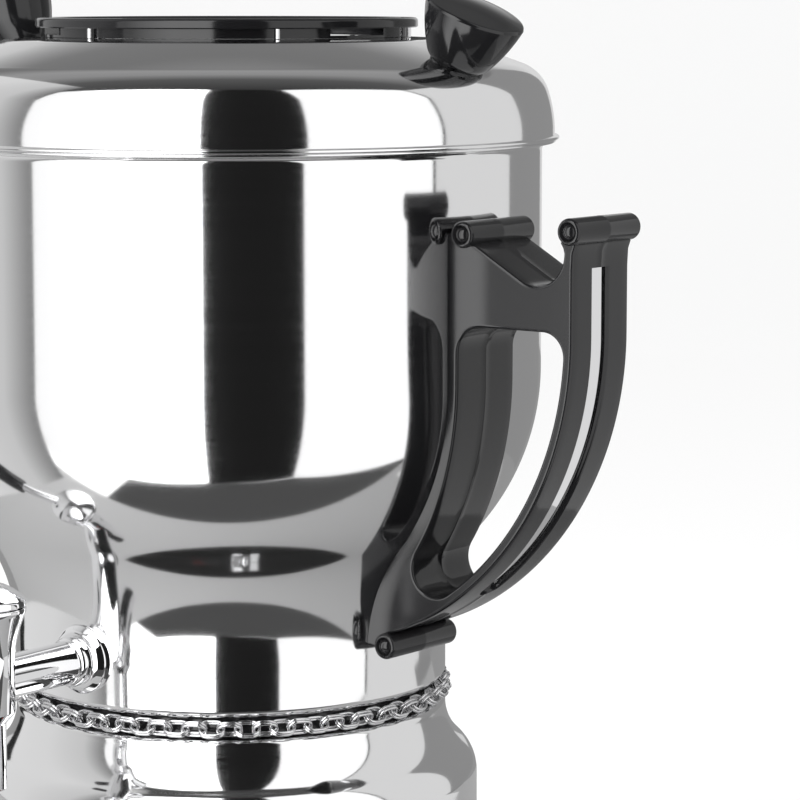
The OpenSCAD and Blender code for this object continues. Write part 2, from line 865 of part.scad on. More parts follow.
// The flange of the power inlet follows the drum
module power_inlet() {
    color(black)
        difference() {
            union() {
                inlet_block(inlet_wall, inlet_back, inlet_face - inlet_out / 2);
                intersection() {
                    inlet_block(inlet_wall + inlet_flange, inlet_back, inlet_face + past);
                    translate([0, 0, inlet_z - inlet_h])
                        difference() {
                            cylinder(r = inlet_face, h = 2 * inlet_h);
                            translate([0, 0, -past])
                                cylinder(r = drum_r + seat_gap, h = 2 * (inlet_h + past));
                        }
                }
            }
            inlet_block(0, inlet_face - inlet_d, inlet_face + past);
            inlet_blades(hole_gap, inlet_back - past, inlet_face);
        }
}

module inlet_pins() {
    color(bright)
        inlet_blades(0, inlet_back - pin_tail, inlet_face - pin_sink);
}

module thermostat() {
    shoulder = drum_r - drum_wall - bush_gap;
    color(ceramic)
        rotate(dial_angle)
            difference() {
                union() {
                    translate([-thermostat_w / 2, -thermostat_front, dial_z - thermostat_h / 2])
                        cube([thermostat_w, thermostat_d, thermostat_h]);
                    out_rod(bush_r + bush_nut_w, thermostat_front - past, shoulder, dial_z);
                    out_rod(bush_r, thermostat_front - past, drum_r + bush_out, dial_z);
                }
                out_rod(shaft_r + running_fit, thermostat_front - thermostat_d / 2, reach, dial_z);
            }
}

module thermostat_nut() {
    face = drum_r + seat_gap;
    color(steel)
        rotate(dial_angle)
            difference() {
                out_rod(bush_r + bush_nut_w, face, face + nut_thin, dial_z, 6);
                out_rod(bush_r + thread_gap, 0, reach, dial_z);
            }
}

// Scale plate that lies on the drum behind the knob
module dial_plate() {
    plate = 0.8;
    nut_room = 0.8;
    color(black)
        rotate(dial_angle)
            intersection() {
                difference() {
                    out_rod(dial_r + dial_rim, 0, reach, dial_z);
                    out_rod(bush_r + bush_nut_w + nut_room, -past, reach + past, dial_z);
                }
                translate([0, 0, dial_z - 2 * dial_r])
                    difference() {
                        cylinder(r = drum_r + seat_gap + plate, h = 4 * dial_r);
                        translate([0, 0, -past])
                            cylinder(r = drum_r + seat_gap, h = 4 * dial_r + 2 * past);
                    }
            }
}

module thermostat_shaft() {
    color(steel)
        rotate(dial_angle)
            out_rod(shaft_r, thermostat_front - shaft_tail, dial_face + dial_len - dial_cap, dial_z);
}

module thermostat_knob() {
    soft = 1.2;
    mark_w = 1.6;
    mark_d = 0.6;
    nut_room = 0.4;
    color(bright)
        rotate(dial_angle)
            difference() {
                translate([0, -dial_face, dial_z])
                    rotate([90, 0, 0])
                        rotate_extrude()
                            polygon([[0, 0], [dial_r - soft, 0], [dial_r, soft], [dial_r, dial_len - soft],
                                     [dial_r - soft, dial_len], [0, dial_len]]);
                translate([-mark_w / 2, -dial_face - dial_len - past, dial_z + dial_r / 3])
                    cube([mark_w, mark_d + past, dial_r]);
                out_rod(shaft_r + press_gap, dial_face - past, dial_face + dial_len - dial_cap, dial_z);
                out_rod(bush_r + bush_nut_w + nut_room, dial_face - past, dial_face + dial_gap, dial_z);
            }
}

module lamp_holder() {
    back = drum_r - lamp_len;
    color(black)
        rotate(lamp_angle)
            difference() {
                out_rod(lamp_r, back, drum_r - lamp_sink, dial_z);
                out_rod(lamp_r - lamp_wall, back + lamp_floor, drum_r, dial_z);
            }
}

// The lens has a lip in front of the drum and a low dome
module lamp_lens() {
    lip_from = 0.8;
    lip_w = 1.2;
    lip_to = 1.6;
    dome_h = 2;
    color("#d8421e")
        rotate(lamp_angle)
            translate([0, -drum_r + lamp_sink, dial_z])
                rotate([90, 0, 0])
                    rotate_extrude()
                        polygon([[0, 0], [lamp_r, 0], [lamp_r, lip_from], [lamp_r + lip_w, lip_from],
                                 [lamp_r + lip_w, lip_to], [lamp_r, lip_to + dome_h / 2],
                                 [lamp_r / 2, lip_to + dome_h * 0.9], [0, lip_to + dome_h]]);
}

// Outline of a handle in its radial plane, reaching into the vessel
module handle_outline() {
    slope = [cos(180 - bridge_slope), sin(180 - bridge_slope)];
    dip_left = dip_centre + dip_bend * [cos(-90 - bridge_slope), sin(-90 - bridge_slope)];
    run = (dip_left[0] - inner_roll[0]) / cos(bridge_slope);
    difference() {
        polygon(concat(
            [[neck_r - handle_root, foot_roll[1]], foot_roll],
            arc(arm_centre, arm_outer, foot_roll_angle, 0),
            [outer_roll, [arm_in_r, outer_roll[1] - roll_lap]],
            arc(dip_centre, dip_bend, 0, -90 - bridge_slope),
            [dip_left + run * slope, inner_roll, [vessel_r - handle_root, inner_roll[1]]],
            [[vessel_r - handle_root, bowl_top_z],
             [neck_r - handle_root, bowl_top_z - bowl_bend * sin(bowl_turn)]]
        ));
        polygon(finger_gap());
    }
}

// The space for the fingers between the limb and the arm
function finger_gap() =
    let (
        limb_side = bearing(limb_centre, gap_foot),
        arm_side = bearing(arm_centre, gap_foot),
        inner_corner = [limb_r + gap_inner_corner, bridge_z - gap_inner_corner],
        outer_z = bridge_z - gap_outer_corner,
        outer_angle = asin((outer_z - arm_centre[1]) / (arm_bend - gap_outer_corner)),
        outer_corner = arm_centre + (arm_bend - gap_outer_corner) * [cos(outer_angle), sin(outer_angle)]
    )
    concat(
        arc(limb_centre, limb_bend, 0, limb_side),
        arc(gap_foot, gap_foot_corner, 180 + limb_side, 360 + arm_side, 10),
        arc(arm_centre, arm_bend, arm_side, outer_angle),
        arc(outer_corner, gap_outer_corner, outer_angle, 90, 8),
        arc(inner_corner, gap_inner_corner, 90, 180, 8)
    );

// Band along the outside of the arm between two depths below its face
module arm_band(from, to) {
    polygon(concat(
        arc(arm_centre, arm_outer - from, groove_end_angle, 0),
        [[arm_out_r - from, groove_top_z], [arm_out_r - to, groove_top_z]],
        arc(arm_centre, arm_outer - to, 0, groove_end_angle)
    ));
}

// Stands a radial outline up and gives it a width
module stand(w) {
    rotate([90, 0, 0])
        linear_extrude(height = w, center = true)
            children();
}

// Round end of the inlay or of its groove, square to the arm's face
module band_end(w, from, to) {
    face = arm_centre + arm_outer * [cos(groove_end_angle), sin(groove_end_angle)];
    translate([face[0], 0, face[1]])
        rotate([0, 90 - groove_end_angle, 0])
            translate([0, 0, -to])
                cylinder(d = w, h = to - from);
}

module roll(at) {
    translate([at[0], 0, at[1]])
        rotate([90, 0, 0]) {
            cylinder(r = roll_r, h = roll_len, center = true);
            cylinder(r = roll_r - button_in, h = roll_len + 2 * button_out, center = true);
        }
}

module handle() {
    color(black)
        difference() {
            union() {
                stand(handle_w)
                    handle_outline();
                roll(inner_roll);
                roll(outer_roll);
                roll(foot_roll);
            }
            vessel_envelope(seat_gap);
            stand(inlay_w)
                arm_band(-groove_clear, groove_depth);
            band_end(inlay_w, -groove_clear, groove_depth);
            for (z = [screw_top_z, screw_low_z])
                side_rod(screw_r + thread_gap, 0, screw_end(z) + clear_gap, z);
        }
}

module handle_right() {
    handle();
}

module handle_left() {
    rotate(180)
        handle();
}

module handle_inlay() {
    color(bright) {
        stand(inlay_w - 2 * seat_gap)
            arm_band(groove_depth - inlay_t, groove_depth - seat_gap / 2);
        band_end(inlay_w - 2 * seat_gap, groove_depth - inlay_t, groove_depth - seat_gap / 2);
    }
}

module handle_inlay_right() {
    handle_inlay();
}

module handle_inlay_left() {
    rotate(180)
        handle_inlay();
}

// Radius of the vessel's inner face where a handle screw passes
function screw_face(z) = (z > bowl_top_z ? vessel_r : neck_r_at(z)) - vessel_wall;

// Distance of a handle screw's end from the centre line
function screw_end(z) = screw_face(z) + vessel_wall + screw_len;

module handle_screws() {
    color(steel)
        on_both_sides()
            for (z = [screw_top_z, screw_low_z]) {
                head = screw_face(z) - seal_t - seal_room;
                side_rod(screw_head_r, head - screw_head_h, head, z);
                side_rod(screw_r, head - past, screw_end(z), z);
            }
}

module handle_seals() {
    color(rubber)
        intersection() {
            on_both_sides()
                for (z = [screw_top_z, screw_low_z])
                    difference() {
                        side_rod(screw_head_r + seal_w, screw_face(z) - seal_t - seal_room,
                                 screw_face(z) + screw_head_r + seal_w, z);
                        side_rod(screw_r + hole_gap, 0, reach, z);
                    }
            vessel_inside(seat_gap);
        }
}

module tap_escutcheon() {
    soft = 1.6;
    back = neck_r - escutcheon_t;
    color(bright)
        difference() {
            translate([0, -back, tap_z])
                rotate([90, 0, 0])
                    rotate_extrude()
                        polygon(concat(
                            [[tail_r + hole_gap, 0], [escutcheon_r, 0]],
                            arc([escutcheon_r - soft, escutcheon_face - back - soft], soft, 0, 90, 6),
                            [[tail_r + hole_gap, escutcheon_face - back]]
                        ));
            vessel_envelope(seat_gap);
        }
}

// Section of the tap's pipe around its axis, from the thread inside the vessel to the valve
module pipe_section() {
    face = escutcheon_face + seat_gap / 2;
    end = escutcheon_face + boss_len;
    soft = 2.4;
    polygon(concat(
        [[water_r, tail_end], [tail_r, tail_end], [tail_r, face], [boss_r, face]],
        arc([boss_r - soft, end - soft], soft, 0, 60, 5),
        [[pipe_r, end], [pipe_r, tap_at], [water_r, tap_at]]
    ));
}

// Section of the valve's barrel and spout around the vertical axis
module barrel_section() {
    flare_gap = 1;
    flare_from = tap_z + pipe_r + flare_gap;
    lip = 1.4;
    nose = 1;
    slope = 2;
    polygon(concat(
        [[0, spout_foot_z], [spout_r - nose, spout_foot_z], [spout_r, spout_foot_z + nose],
         [spout_r, barrel_foot_z - slope], [barrel_r, barrel_foot_z + slope], [barrel_r, flare_from]],
        [for (i = [1:6]) let (k = i / 6)
            [barrel_r + (barrel_top_r - barrel_r) * pow(k, 1.6),
             flare_from + (barrel_top_z - lip - flare_from) * k]],
        [[barrel_top_r, barrel_top_z], [0, barrel_top_z]]
    ));
}

module tap_body() {
    color(bright)
        difference() {
            union() {
                translate([0, 0, tap_z])
                    rotate([90, 0, 0])
                        rotate_extrude()
                            pipe_section();
                translate([0, -tap_at, 0])
                    rotate_extrude()
                        barrel_section();
            }
            out_rod(water_r, tail_end - past, tap_at, tap_z);
            translate([0, -tap_at, 0]) {
                translate([0, 0, spout_foot_z - past])
                    cylinder(r = water_r, h = spout_len + barrel_drop);
                translate([0, 0, plug_foot_z])
                    cylinder(r = plug_r + running_fit, h = reach);
                translate([0, 0, plug_top_z])
                    cylinder(r = gland_r + seat_gap, h = reach);
            }
        }
}

// Soft washer between the vessel's inner face and the nut
module tap_washers() {
    color(rubber)
        intersection() {
            difference() {
                out_rod(nut_r + washer_w, neck_r - vessel_wall - washer_t, neck_r, tap_z);
                out_rod(tail_r + hole_gap, 0, reach, tap_z);
            }
            vessel_inside(seat_gap);
        }
}

module tap_nut() {
    back = neck_r - vessel_wall - washer_t;
    color(brass)
        difference() {
            out_rod(nut_r, back - nut_t, back, tap_z, 6);
            out_rod(tail_r + thread_gap, 0, reach, tap_z);
        }
}

// The nut that keeps the plug in the barrel
module tap_gland() {
    color(brass)
        translate([0, -tap_at, plug_top_z + end_play])
            difference() {
                cylinder(r = gland_r, h = gland_t);
                translate([0, 0, -past])
                    cylinder(r = stem_r + running_fit, h = gland_t + 2 * past);
            }
}

// The plug has a side port that meets the pipe once it is turned to the open place
module tap_plug() {
    color(brass)
        translate([0, -tap_at, 0])
            difference() {
                union() {
                    translate([0, 0, plug_foot_z + end_play])
                        cylinder(r = plug_r, h = plug_top_z - plug_foot_z - end_play);
                    translate([0, 0, plug_top_z - past])
                        cylinder(r = stem_r, h = hub_z + stem_grip - plug_top_z + past);
                }
                translate([0, 0, plug_foot_z - past])
                    cylinder(r = water_r, h = tap_z - plug_foot_z + past);
                translate([0, 0, tap_z])
                    rotate([0, 90, 0])
                        cylinder(r = water_r, h = 2 * plug_r);
                translate([0, 0, plug_top_z - seal_drop])
                    seal_ring(seal_wire / 2 + running_fit);
            }
}

module seal_ring(r) {
    rotate_extrude()
        translate([plug_r - seal_wire / 2, 0])
            circle(r = r, $fn = 24);
}

module plug_seal() {
    color(rubber)
        translate([0, -tap_at, plug_top_z - seal_drop])
            seal_ring(seal_wire / 2);
}

// Domed hub with its sloping arm, which turns with the plug
module tap_lever() {
    dome_h = hub_h - hub_rim;
    dome_bend = (pow(barrel_top_r, 2) + pow(dome_h, 2)) / (2 * dome_h);
    dome_edge = asin(barrel_top_r / dome_bend);
    color(bright)
        translate([0, -tap_at, hub_z])
            difference() {
                union() {
                    rotate_extrude()
                        polygon(concat(
                            [[0, 0], [barrel_top_r, 0]],
                            arc([0, hub_h - dome_bend], dome_bend, 90 - dome_edge, 90, 10)
                        ));
                    lever_axis()
                        cylinder(r = arm_rod_r, h = lever_len - grip_len + grip_hole);
                }
                translate([0, 0, -past])
                    cylinder(r = stem_r + press_gap, h = stem_grip + past);
            }
}

// Places a piece on the lever's axis, which points to the left and upwards when the tap is shut
module lever_axis() {
    translate([-stem_r - past, 0, hub_h / 2])
        rotate([0, lever_rise - 90, 0])
            children();
}

module lever_grip() {
    start = lever_len - grip_len;
    soft = 2;
    end_r = grip_r + grip_widen;
    hole_r = arm_rod_r + press_gap;
    hole_end = grip_hole + thread_gap;
    color(black)
        translate([0, -tap_at, hub_z])
            lever_axis()
                translate([0, 0, start])
                    rotate_extrude()
                        polygon(concat(
                            [[hole_r, 0], [grip_r - soft * 0.4, 0], [grip_r, soft * 0.5],
                             [end_r, grip_len - soft]],
                            arc([end_r - soft, grip_len - soft], soft, 0, 90, 5),
                            [[0, grip_len], [0, hole_end], [hole_r, hole_end]]
                        ));
}

module lid() {
    collar_z = crown_z(steam_r) - steam_collar;
    color(steel)
        difference() {
            rotate_extrude()
                polygon(concat(
                    [[lid_r - lid_wall, rim_z], [lid_r + lid_lip_out, rim_z],
                     [lid_r + lid_lip_out, rim_z + lid_wall], [lid_r, rim_z + lid_wall]],
                    lid_face(0, steam_r),
                    [[steam_r, collar_z], [steam_r + lid_wall, collar_z]],
                    reverse(lid_face(-lid_wall, steam_r + lid_wall))
                ));
            at_knobs()
                cylinder(r = knob_screw_r + hole_gap, h = 2 * hole_reach, center = true);
            at_vent_screws()
                cylinder(r = vent_screw_r + hole_gap, h = 2 * hole_reach, center = true);
        }
}

// Pressed ring inside the lid that centres it in the vessel's mouth
module lid_seat_ring() {
    top = rim_z + seat_rise;
    outer = vessel_r - vessel_wall - seat_play;
    color(steel)
        rotate_extrude()
            polygon([
                [outer - lid_wall, rim_z - seat_depth], [outer, rim_z - seat_depth],
                [outer, top - lid_wall], [lid_r - lid_wall - seat_gap, top - lid_wall],
                [lid_r - lid_wall - seat_gap, top], [outer - lid_wall, top]
            ]);
}

vent_wall_r = vent_flange_r - vent_flange_out;
vent_under_z = crown_z(vent_wall_r) + vent_gap;
vent_top_z = vent_under_z + vent_flange_t;
vent_screw_r = 1.4;
vent_screw_at = vent_wall_r - vent_wall / 2;
vent_screw_in = 3.8;
vent_head_w = 1.2;
vent_head_h = 1.8;
vent_head_gap = 0.6;

// The flange has a step inside that a teapot's foot drops into
module vent_ring() {
    soft = 0.8;
    lower_soft = 0.4;
    step_w = 1.5;
    step_h = 1.2;
    window_lead = 0.25;
    inner = vent_wall_r - vent_wall;
    window_in = inner * cos(asin(window_w / 2 / inner)) - past;
    color(black)
        difference() {
            rotate_extrude()
                polygon(concat(
                    [for (i = [0:4]) let (r = inner + vent_wall * i / 4) [r, crown_z(r) + seat_gap]],
                    [[vent_wall_r, vent_under_z], [vent_flange_r - lower_soft, vent_under_z],
                     [vent_flange_r, vent_under_z + lower_soft], [vent_flange_r, vent_top_z - soft],
                     [vent_flange_r - soft, vent_top_z], [inner + 2 * step_w, vent_top_z],
                     [inner + step_w, vent_top_z - step_h], [inner, vent_top_z - step_h]]
                ));
            for (i = [0:window_count - 1])
                rotate(vent_turn + (i - window_lead) * 360 / window_count)
                    translate([-window_w / 2, -vent_flange_r, vent_under_z - window_h])
                        cube([window_w, vent_flange_r - window_in, window_h]);
            at_vent_screws()
                translate([0, 0, -past])
                    cylinder(r = vent_screw_r + thread_gap, h = vent_screw_in + clear_gap + past);
        }
}

module vent_posts() {
    post_gap = 0.7;
    at = vent_wall_r + post_r + post_gap;
    foot = crown_z(at - post_r) + seat_gap;
    color(bright)
        for (i = [0:2 * window_count - 1])
            rotate(vent_turn + i * 180 / window_count)
                translate([0, -at, foot])
                    cylinder(r = post_r, h = vent_under_z - foot, $fn = 24);
}

// Places on the crown under the vent ring, between its windows
module at_vent_screws() {
    for (i = [0:window_count - 1])
        rotate(vent_turn + i * 360 / window_count)
            translate([0, -vent_screw_at, crown_z(vent_screw_at)])
                children();
}

module vent_screws() {
    color(steel)
        at_vent_screws() {
            translate([0, 0, -lid_wall - vent_head_gap - vent_head_h])
                cylinder(r = vent_screw_r + vent_head_w, h = vent_head_h);
            translate([0, 0, -lid_wall - past])
                cylinder(r = vent_screw_r, h = lid_wall + past + vent_screw_in);
        }
}

knob_screw_r = 2;
knob_head_w = 1.8;
knob_head_h = 2;
knob_head_gap = 0.9;
knob_thread = 0.45 * knob_len;

// The foot of each knob on the lid, with the knob's axis upwards
module at_knobs() {
    on_both_sides()
        at_knob()
            children();
}

module at_knob() {
    translate([knob_at, 0, crown_z(knob_at)])
        rotate([0, knob_lean, 0])
            children();
}

// Everything inside the lid's outer face, grown by a gap
module lid_envelope(gap) {
    rotate_extrude($fn = 180)
        polygon(concat([[0, rim_z], [lid_r + gap, rim_z]], lid_face(gap, 0)));
}

module knob() {
    soft = 1.2;
    root = 8;
    color(black)
        difference() {
            at_knob()
                rotate_extrude()
                    polygon(concat(
                        [[0, -root], [knob_foot_r, -root]],
                        [for (i = [0:6]) let (k = i / 6)
                            [knob_foot_r + (knob_top_r - knob_foot_r) * k + 4 * knob_bulge * k * (1 - k),
                             (knob_len - soft) * k]],
                        [[knob_top_r - soft * 0.4, knob_len - soft * 0.3]],
                        [for (i = [0:4]) let (k = 1 - i / 4)
                            [(knob_top_r - soft) * k, knob_len + knob_crown * (1 - k * k)]]
                    ));
            lid_envelope(seat_gap);
            at_knob()
                translate([0, 0, -root - past])
                    cylinder(r = knob_screw_r + thread_gap, h = root + past + knob_thread + past);
        }
}

module lid_knob_right() {
    knob();
}

module lid_knob_left() {
    rotate(180)
        knob();
}

module knob_screws() {
    color(steel)
        at_knobs() {
            translate([0, 0, -lid_wall - knob_head_gap - knob_head_h])
                cylinder(r = knob_screw_r + knob_head_w, h = knob_head_h);
            translate([0, 0, -lid_wall - knob_head_gap - past])
                cylinder(r = knob_screw_r, h = lid_wall + knob_head_gap + past + knob_thread);
        }
}

vessel();
waist_ring();
decor_chain();
base_shell();
base_ring();
base_plate();
foot_ring();
foot_screws();
foot_nuts();
tie_rod();
tie_nut();
heat_plate();
heating_element();
thermal_cutout();
terminal_block();
power_inlet();
inlet_pins();
thermostat();
thermostat_nut();
dial_plate();
thermostat_shaft();
thermostat_knob();
lamp_holder();
lamp_lens();
handle_right();
handle_left();
handle_inlay_right();
handle_inlay_left();
handle_screws();
handle_seals();
tap_escutcheon();
tap_body();
tap_washers();
tap_nut();
tap_gland();
tap_plug();
plug_seal();
tap_lever();
lever_grip();
lid();
lid_seat_ring();
vent_ring();
vent_posts();
vent_screws();
lid_knob_right();
lid_knob_left();
knob_screws();
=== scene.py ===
# %% [markdown]
# # An electric samovar
# The samovar is a polished steel vessel on a flared drum. A chain of doubled wire links lies in
# the waist between them, black moulded handles sit on its sides, and a plug tap stands in front.
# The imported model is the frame: every piece made here sits where the frame has it, in metres.

# %% Load the frame
import json
import math

import bmesh
import bpy
from mathutils import Matrix, Vector


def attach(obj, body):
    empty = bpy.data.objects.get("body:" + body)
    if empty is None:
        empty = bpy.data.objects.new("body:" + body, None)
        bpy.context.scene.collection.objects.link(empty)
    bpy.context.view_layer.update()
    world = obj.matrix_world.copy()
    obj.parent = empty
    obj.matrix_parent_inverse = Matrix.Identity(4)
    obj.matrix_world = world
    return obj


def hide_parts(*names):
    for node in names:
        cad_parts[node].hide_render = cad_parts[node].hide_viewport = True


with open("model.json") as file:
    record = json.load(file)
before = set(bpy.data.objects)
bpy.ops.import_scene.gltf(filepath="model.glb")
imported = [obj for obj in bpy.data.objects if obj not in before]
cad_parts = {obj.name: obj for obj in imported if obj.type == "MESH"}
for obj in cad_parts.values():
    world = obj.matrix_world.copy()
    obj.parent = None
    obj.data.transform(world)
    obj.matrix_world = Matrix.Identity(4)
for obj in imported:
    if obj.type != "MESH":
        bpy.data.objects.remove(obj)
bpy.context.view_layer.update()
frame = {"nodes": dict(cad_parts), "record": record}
mm = 0.001

# %% [markdown]
# ## The studio
# Mirror steel shows its surroundings, so the studio is half of the picture. The photograph was
# taken between two white cards with a dark gap between them, and that gap is the dark band on the
# vessel. Cards and boards of a studio could be lit by lamps, but plain glowing cards are easier to
# judge: a card of strength 1 looks white in the steel. They show in reflections only, so that no
# other view is blocked by one. Places are given as millimetres to the right of the camera's line
# and towards the camera, from the vessel's centre line.

# %% Camera
view_turn = math.radians(41.10)
view_distance = 1108 * mm
view_height = 349.6 * mm
view_tilt = math.radians(7.36)
view_pan = math.radians(3.12)
sensor_width, focal_length = 36, 141.8

scene = bpy.context.scene
scene.view_settings.view_transform = "Standard"
to_right = Vector((math.cos(view_turn), math.sin(view_turn), 0))
to_camera = Vector((math.sin(view_turn), -math.cos(view_turn), 0))
heading = Matrix.Rotation(-view_pan, 3, "Z") @ -to_camera
look = heading * math.cos(view_tilt) - Vector((0, 0, math.sin(view_tilt)))


def add_object(name, data):
    """An object with some data, linked to the scene."""
    made = bpy.data.objects.new(name, data)
    scene.collection.objects.link(made)
    return made


camera = add_object("photo_camera", bpy.data.cameras.new("photo_camera"))
camera.data.sensor_width = sensor_width
camera.data.lens = focal_length
camera.location = to_camera * view_distance + Vector((0, 0, view_height))
camera.rotation_euler = look.to_track_quat("-Z", "Y").to_euler()
scene.camera = camera
print("camera at", [round(v, 3) for v in camera.location])

# %% World and floor
matt_roughness, matt_shine = 0.8, 0.2


def plain_material(name, colour, emission=0.0):
    """A stage material: a matt colour, or a glow of that colour."""
    material = bpy.data.materials.new(name)
    material.use_nodes = True
    shader = material.node_tree.nodes["Principled BSDF"]
    shader.inputs["Base Color"].default_value = (0, 0, 0, 1) if emission else (*colour, 1)
    shader.inputs["Roughness"].default_value = matt_roughness
    shader.inputs["Specular IOR Level"].default_value = 0.0 if emission else matt_shine
    shader.inputs["Emission Color"].default_value = (*colour, 1)
    shader.inputs["Emission Strength"].default_value = emission
    return material


def stage_sheet(name, corners, material, camera_sees=False):
    """A flat sheet of the studio through the given corners."""
    mesh = bpy.data.meshes.new(name)
    mesh.from_pydata([tuple(c) for c in corners], [], [tuple(range(len(corners)))])
    mesh.materials.append(material)
    sheet = add_object(name, mesh)
    if not camera_sees:
        sheet.visible_camera = False
        sheet.visible_diffuse = False
        sheet.visible_shadow = False


def studio(right, near, height):
    """A place in the studio, from millimetres right of and towards the camera, and up."""
    return (to_right * right + to_camera * near) * mm + Vector((0, 0, height * mm))


world = bpy.data.worlds.new("soft_room")
scene.world = world
world.use_nodes = True
room_light = 1.0
world.node_tree.nodes["Background"].inputs["Color"].default_value = (1, 1, 1, 1)
world.node_tree.nodes["Background"].inputs["Strength"].default_value = room_light

floor_reach = 200000
floor_white = plain_material("floor_white", (0.95, 0.95, 0.95))
floor_corners = [studio(r, n, 0) for r, n in ((-1, -1), (1, -1), (1, 1), (-1, 1))]
stage_sheet("floor", [c * floor_reach for c in floor_corners], floor_white, camera_sees=True)
print("room light", room_light)

# %% Upright cards
card_top, strip_top = 690, 420
card_list = (
    # name, foot from (right, near), foot to (right, near), top, strength
    ("gap_between_cards", (-40, 303), (122, 303), card_top, 0.012),
    ("right_card", (122, 300), (435, 165), card_top, 1.15),
    ("card_edge", (435, 165), (446, 158), card_top, 0.04),
    ("right_side_card", (446, 158), (520, -215), card_top, 0.72),
    ("right_back_board", (520, -215), (330, -640), card_top, 0.27),
    ("back_strip", (120, -700), (-60, -700), strip_top, 0.05),
    ("left_back_strip", (-300, -420), (-370, -330), card_top, 0.02),
    ("left_side_card", (-470, -300), (-455, -150), card_top, 0.75),
)


def glow(name, strength):
    """A plain white glow of some strength."""
    return plain_material(name, (1, 1, 1), strength)


def upright_card(name, foot_from, foot_to, top, material):
    """An upright sheet between two places on the floor."""
    foot = [studio(*foot_from, 0), studio(*foot_to, 0)]
    head = [studio(*foot_to, top), studio(*foot_from, top)]
    stage_sheet(name, foot + head, material)


for card_name, foot_from, foot_to, top, strength in card_list:
    upright_card(card_name, foot_from, foot_to, top, glow(card_name, strength))
print("upright cards:", len(card_list))

# %% Boards on the floor
room_back, board_back, board_front, board_side = -1900, -330, 181, 430
floor_side, floor_front = 3000, -160
shade_right, shade_near, shade_r, shade_steps = 4, 12, 114, 48


def flat_board(name, outline, height, material):
    """A level sheet through places given as steps right of and towards the camera."""
    stage_sheet(name, [studio(right, near, height) for right, near in outline], material)


def rectangle(left, back, right, front):
    """The corners of a level rectangle."""
    return [(left, back), (right, back), (right, front), (left, front)]


# The shade round the foot is what the bowl mirrors as a dark lens.
shade_turns = [2 * math.pi * i / shade_steps for i in range(shade_steps)]
shade_rim = [(shade_r * math.cos(t), shade_r * math.sin(t)) for t in shade_turns]
foot_shade = [(shade_right + right, shade_near + near) for right, near in shade_rim]
dark_mat = [(-190, board_front), (400, board_front), (122, 300), (-40, 303), (-190, 265)]
right_front_floor = [(300, -160), (512, -160), (448, 160), (300, 160)]
board_list = (
    # name, outline, height, strength: where boards overlap, the higher one is seen
    ("dark_mat", dark_mat, 0.3, 0.075),
    ("foot_shade", foot_shade, 0.35, 0.02),
    ("right_front_floor", right_front_floor, 0.25, 0.72),
    ("right_floor", rectangle(board_side, board_back, floor_side, floor_front), 0.1, 0.25),
    ("back_floor", rectangle(-floor_side, room_back, floor_side, board_back), 0.1, 0.3),
)
grey_outline = rectangle(-board_side, board_back, board_side, board_front)
flat_board("grey_board", grey_outline, 0.2, plain_material("grey_board", (0.36, 0.36, 0.36)))
for board_name, outline, height, strength in board_list:
    flat_board(board_name, outline, height, glow(board_name, strength))
print("boards on the floor:", 1 + len(board_list))

# %% Ceiling, back wall and cards that fade
room_side, ceiling_front = 2600, 305
ceiling_stops = (
    (-1.9, 0.72), (-0.95, 0.6), (-0.55, 0.2), (-0.38, 0.18),
    (-0.2, 0.32), (-0.05, 0.28), (0.08, 0.1), (0.305, 0.04),
)
wall_stops = ((0.3, 0.66), (0.69, 0.72))
lamp_stops = ((-0.43, 1.1), (-0.35, 1.1), (-0.25, 2.3), (-0.17, 3.2), (-0.04, 3.2))
flag_stops = ((-0.33, 0.75), (-0.05, 0.72), (0.09, 0.6), (0.161, 0.2))
fading_cards = (
    # name, foot from (right, near), foot to (right, near), direction, stops along it
    ("back_wall", (-room_side, room_back), (room_side, room_back), (0, 0, 1), wall_stops),
    ("left_card", (-430, 205), (-40, 303), to_right, lamp_stops),
    ("left_flag", (-300, 161), (-330, -330), to_camera, flag_stops),
)


def node_out(tree, kind, **values):
    """Adds a node, fills named inputs with values or sockets, and gives its first output."""
    node = tree.nodes.new(kind)
    for label, value in values.items():
        socket = node.inputs[label.replace("_", " ")]
        if isinstance(value, bpy.types.NodeSocket):
            tree.links.new(value, socket)
        else:
            socket.default_value = value
    return node.outputs[0]


def fading_glow(name, direction, stops):
    """A glow that changes along a direction, through stops of (place in metres, strength)."""
    peak = max(strength for where, strength in stops)
    first, last = stops[0][0], stops[-1][0]
    material = glow(name, peak)
    tree = material.node_tree
    along = tree.nodes.new("ShaderNodeVectorMath")
    along.operation = "DOT_PRODUCT"
    along.inputs[1].default_value = direction
    place = tree.nodes.new("ShaderNodeTexCoord").outputs["Object"]
    tree.links.new(place, along.inputs[0])
    share = node_out(tree, "ShaderNodeMapRange", Value=along.outputs["Value"], From_Min=first, From_Max=last)
    ramp = tree.nodes.new("ShaderNodeValToRGB")
    tree.links.new(share, ramp.inputs[0])
    elements = ramp.color_ramp.elements
    for where, strength in stops[1:-1]:
        elements.new((where - first) / (last - first))
    for element, (where, strength) in zip(elements, stops):
        grey = strength / peak
        element.color = (grey, grey, grey, 1)
    tree.links.new(ramp.outputs["Color"], tree.nodes["Principled BSDF"].inputs["Emission Color"])
    return material


ceiling = rectangle(-room_side, room_back, room_side, ceiling_front)
flat_board("ceiling", ceiling, card_top, fading_glow("ceiling", to_camera, ceiling_stops))
for card_name, foot_from, foot_to, direction, stops in fading_cards:
    upright_card(card_name, foot_from, foot_to, card_top, fading_glow(card_name, direction, stops))
print("fading surfaces:", 1 + len(fading_cards))

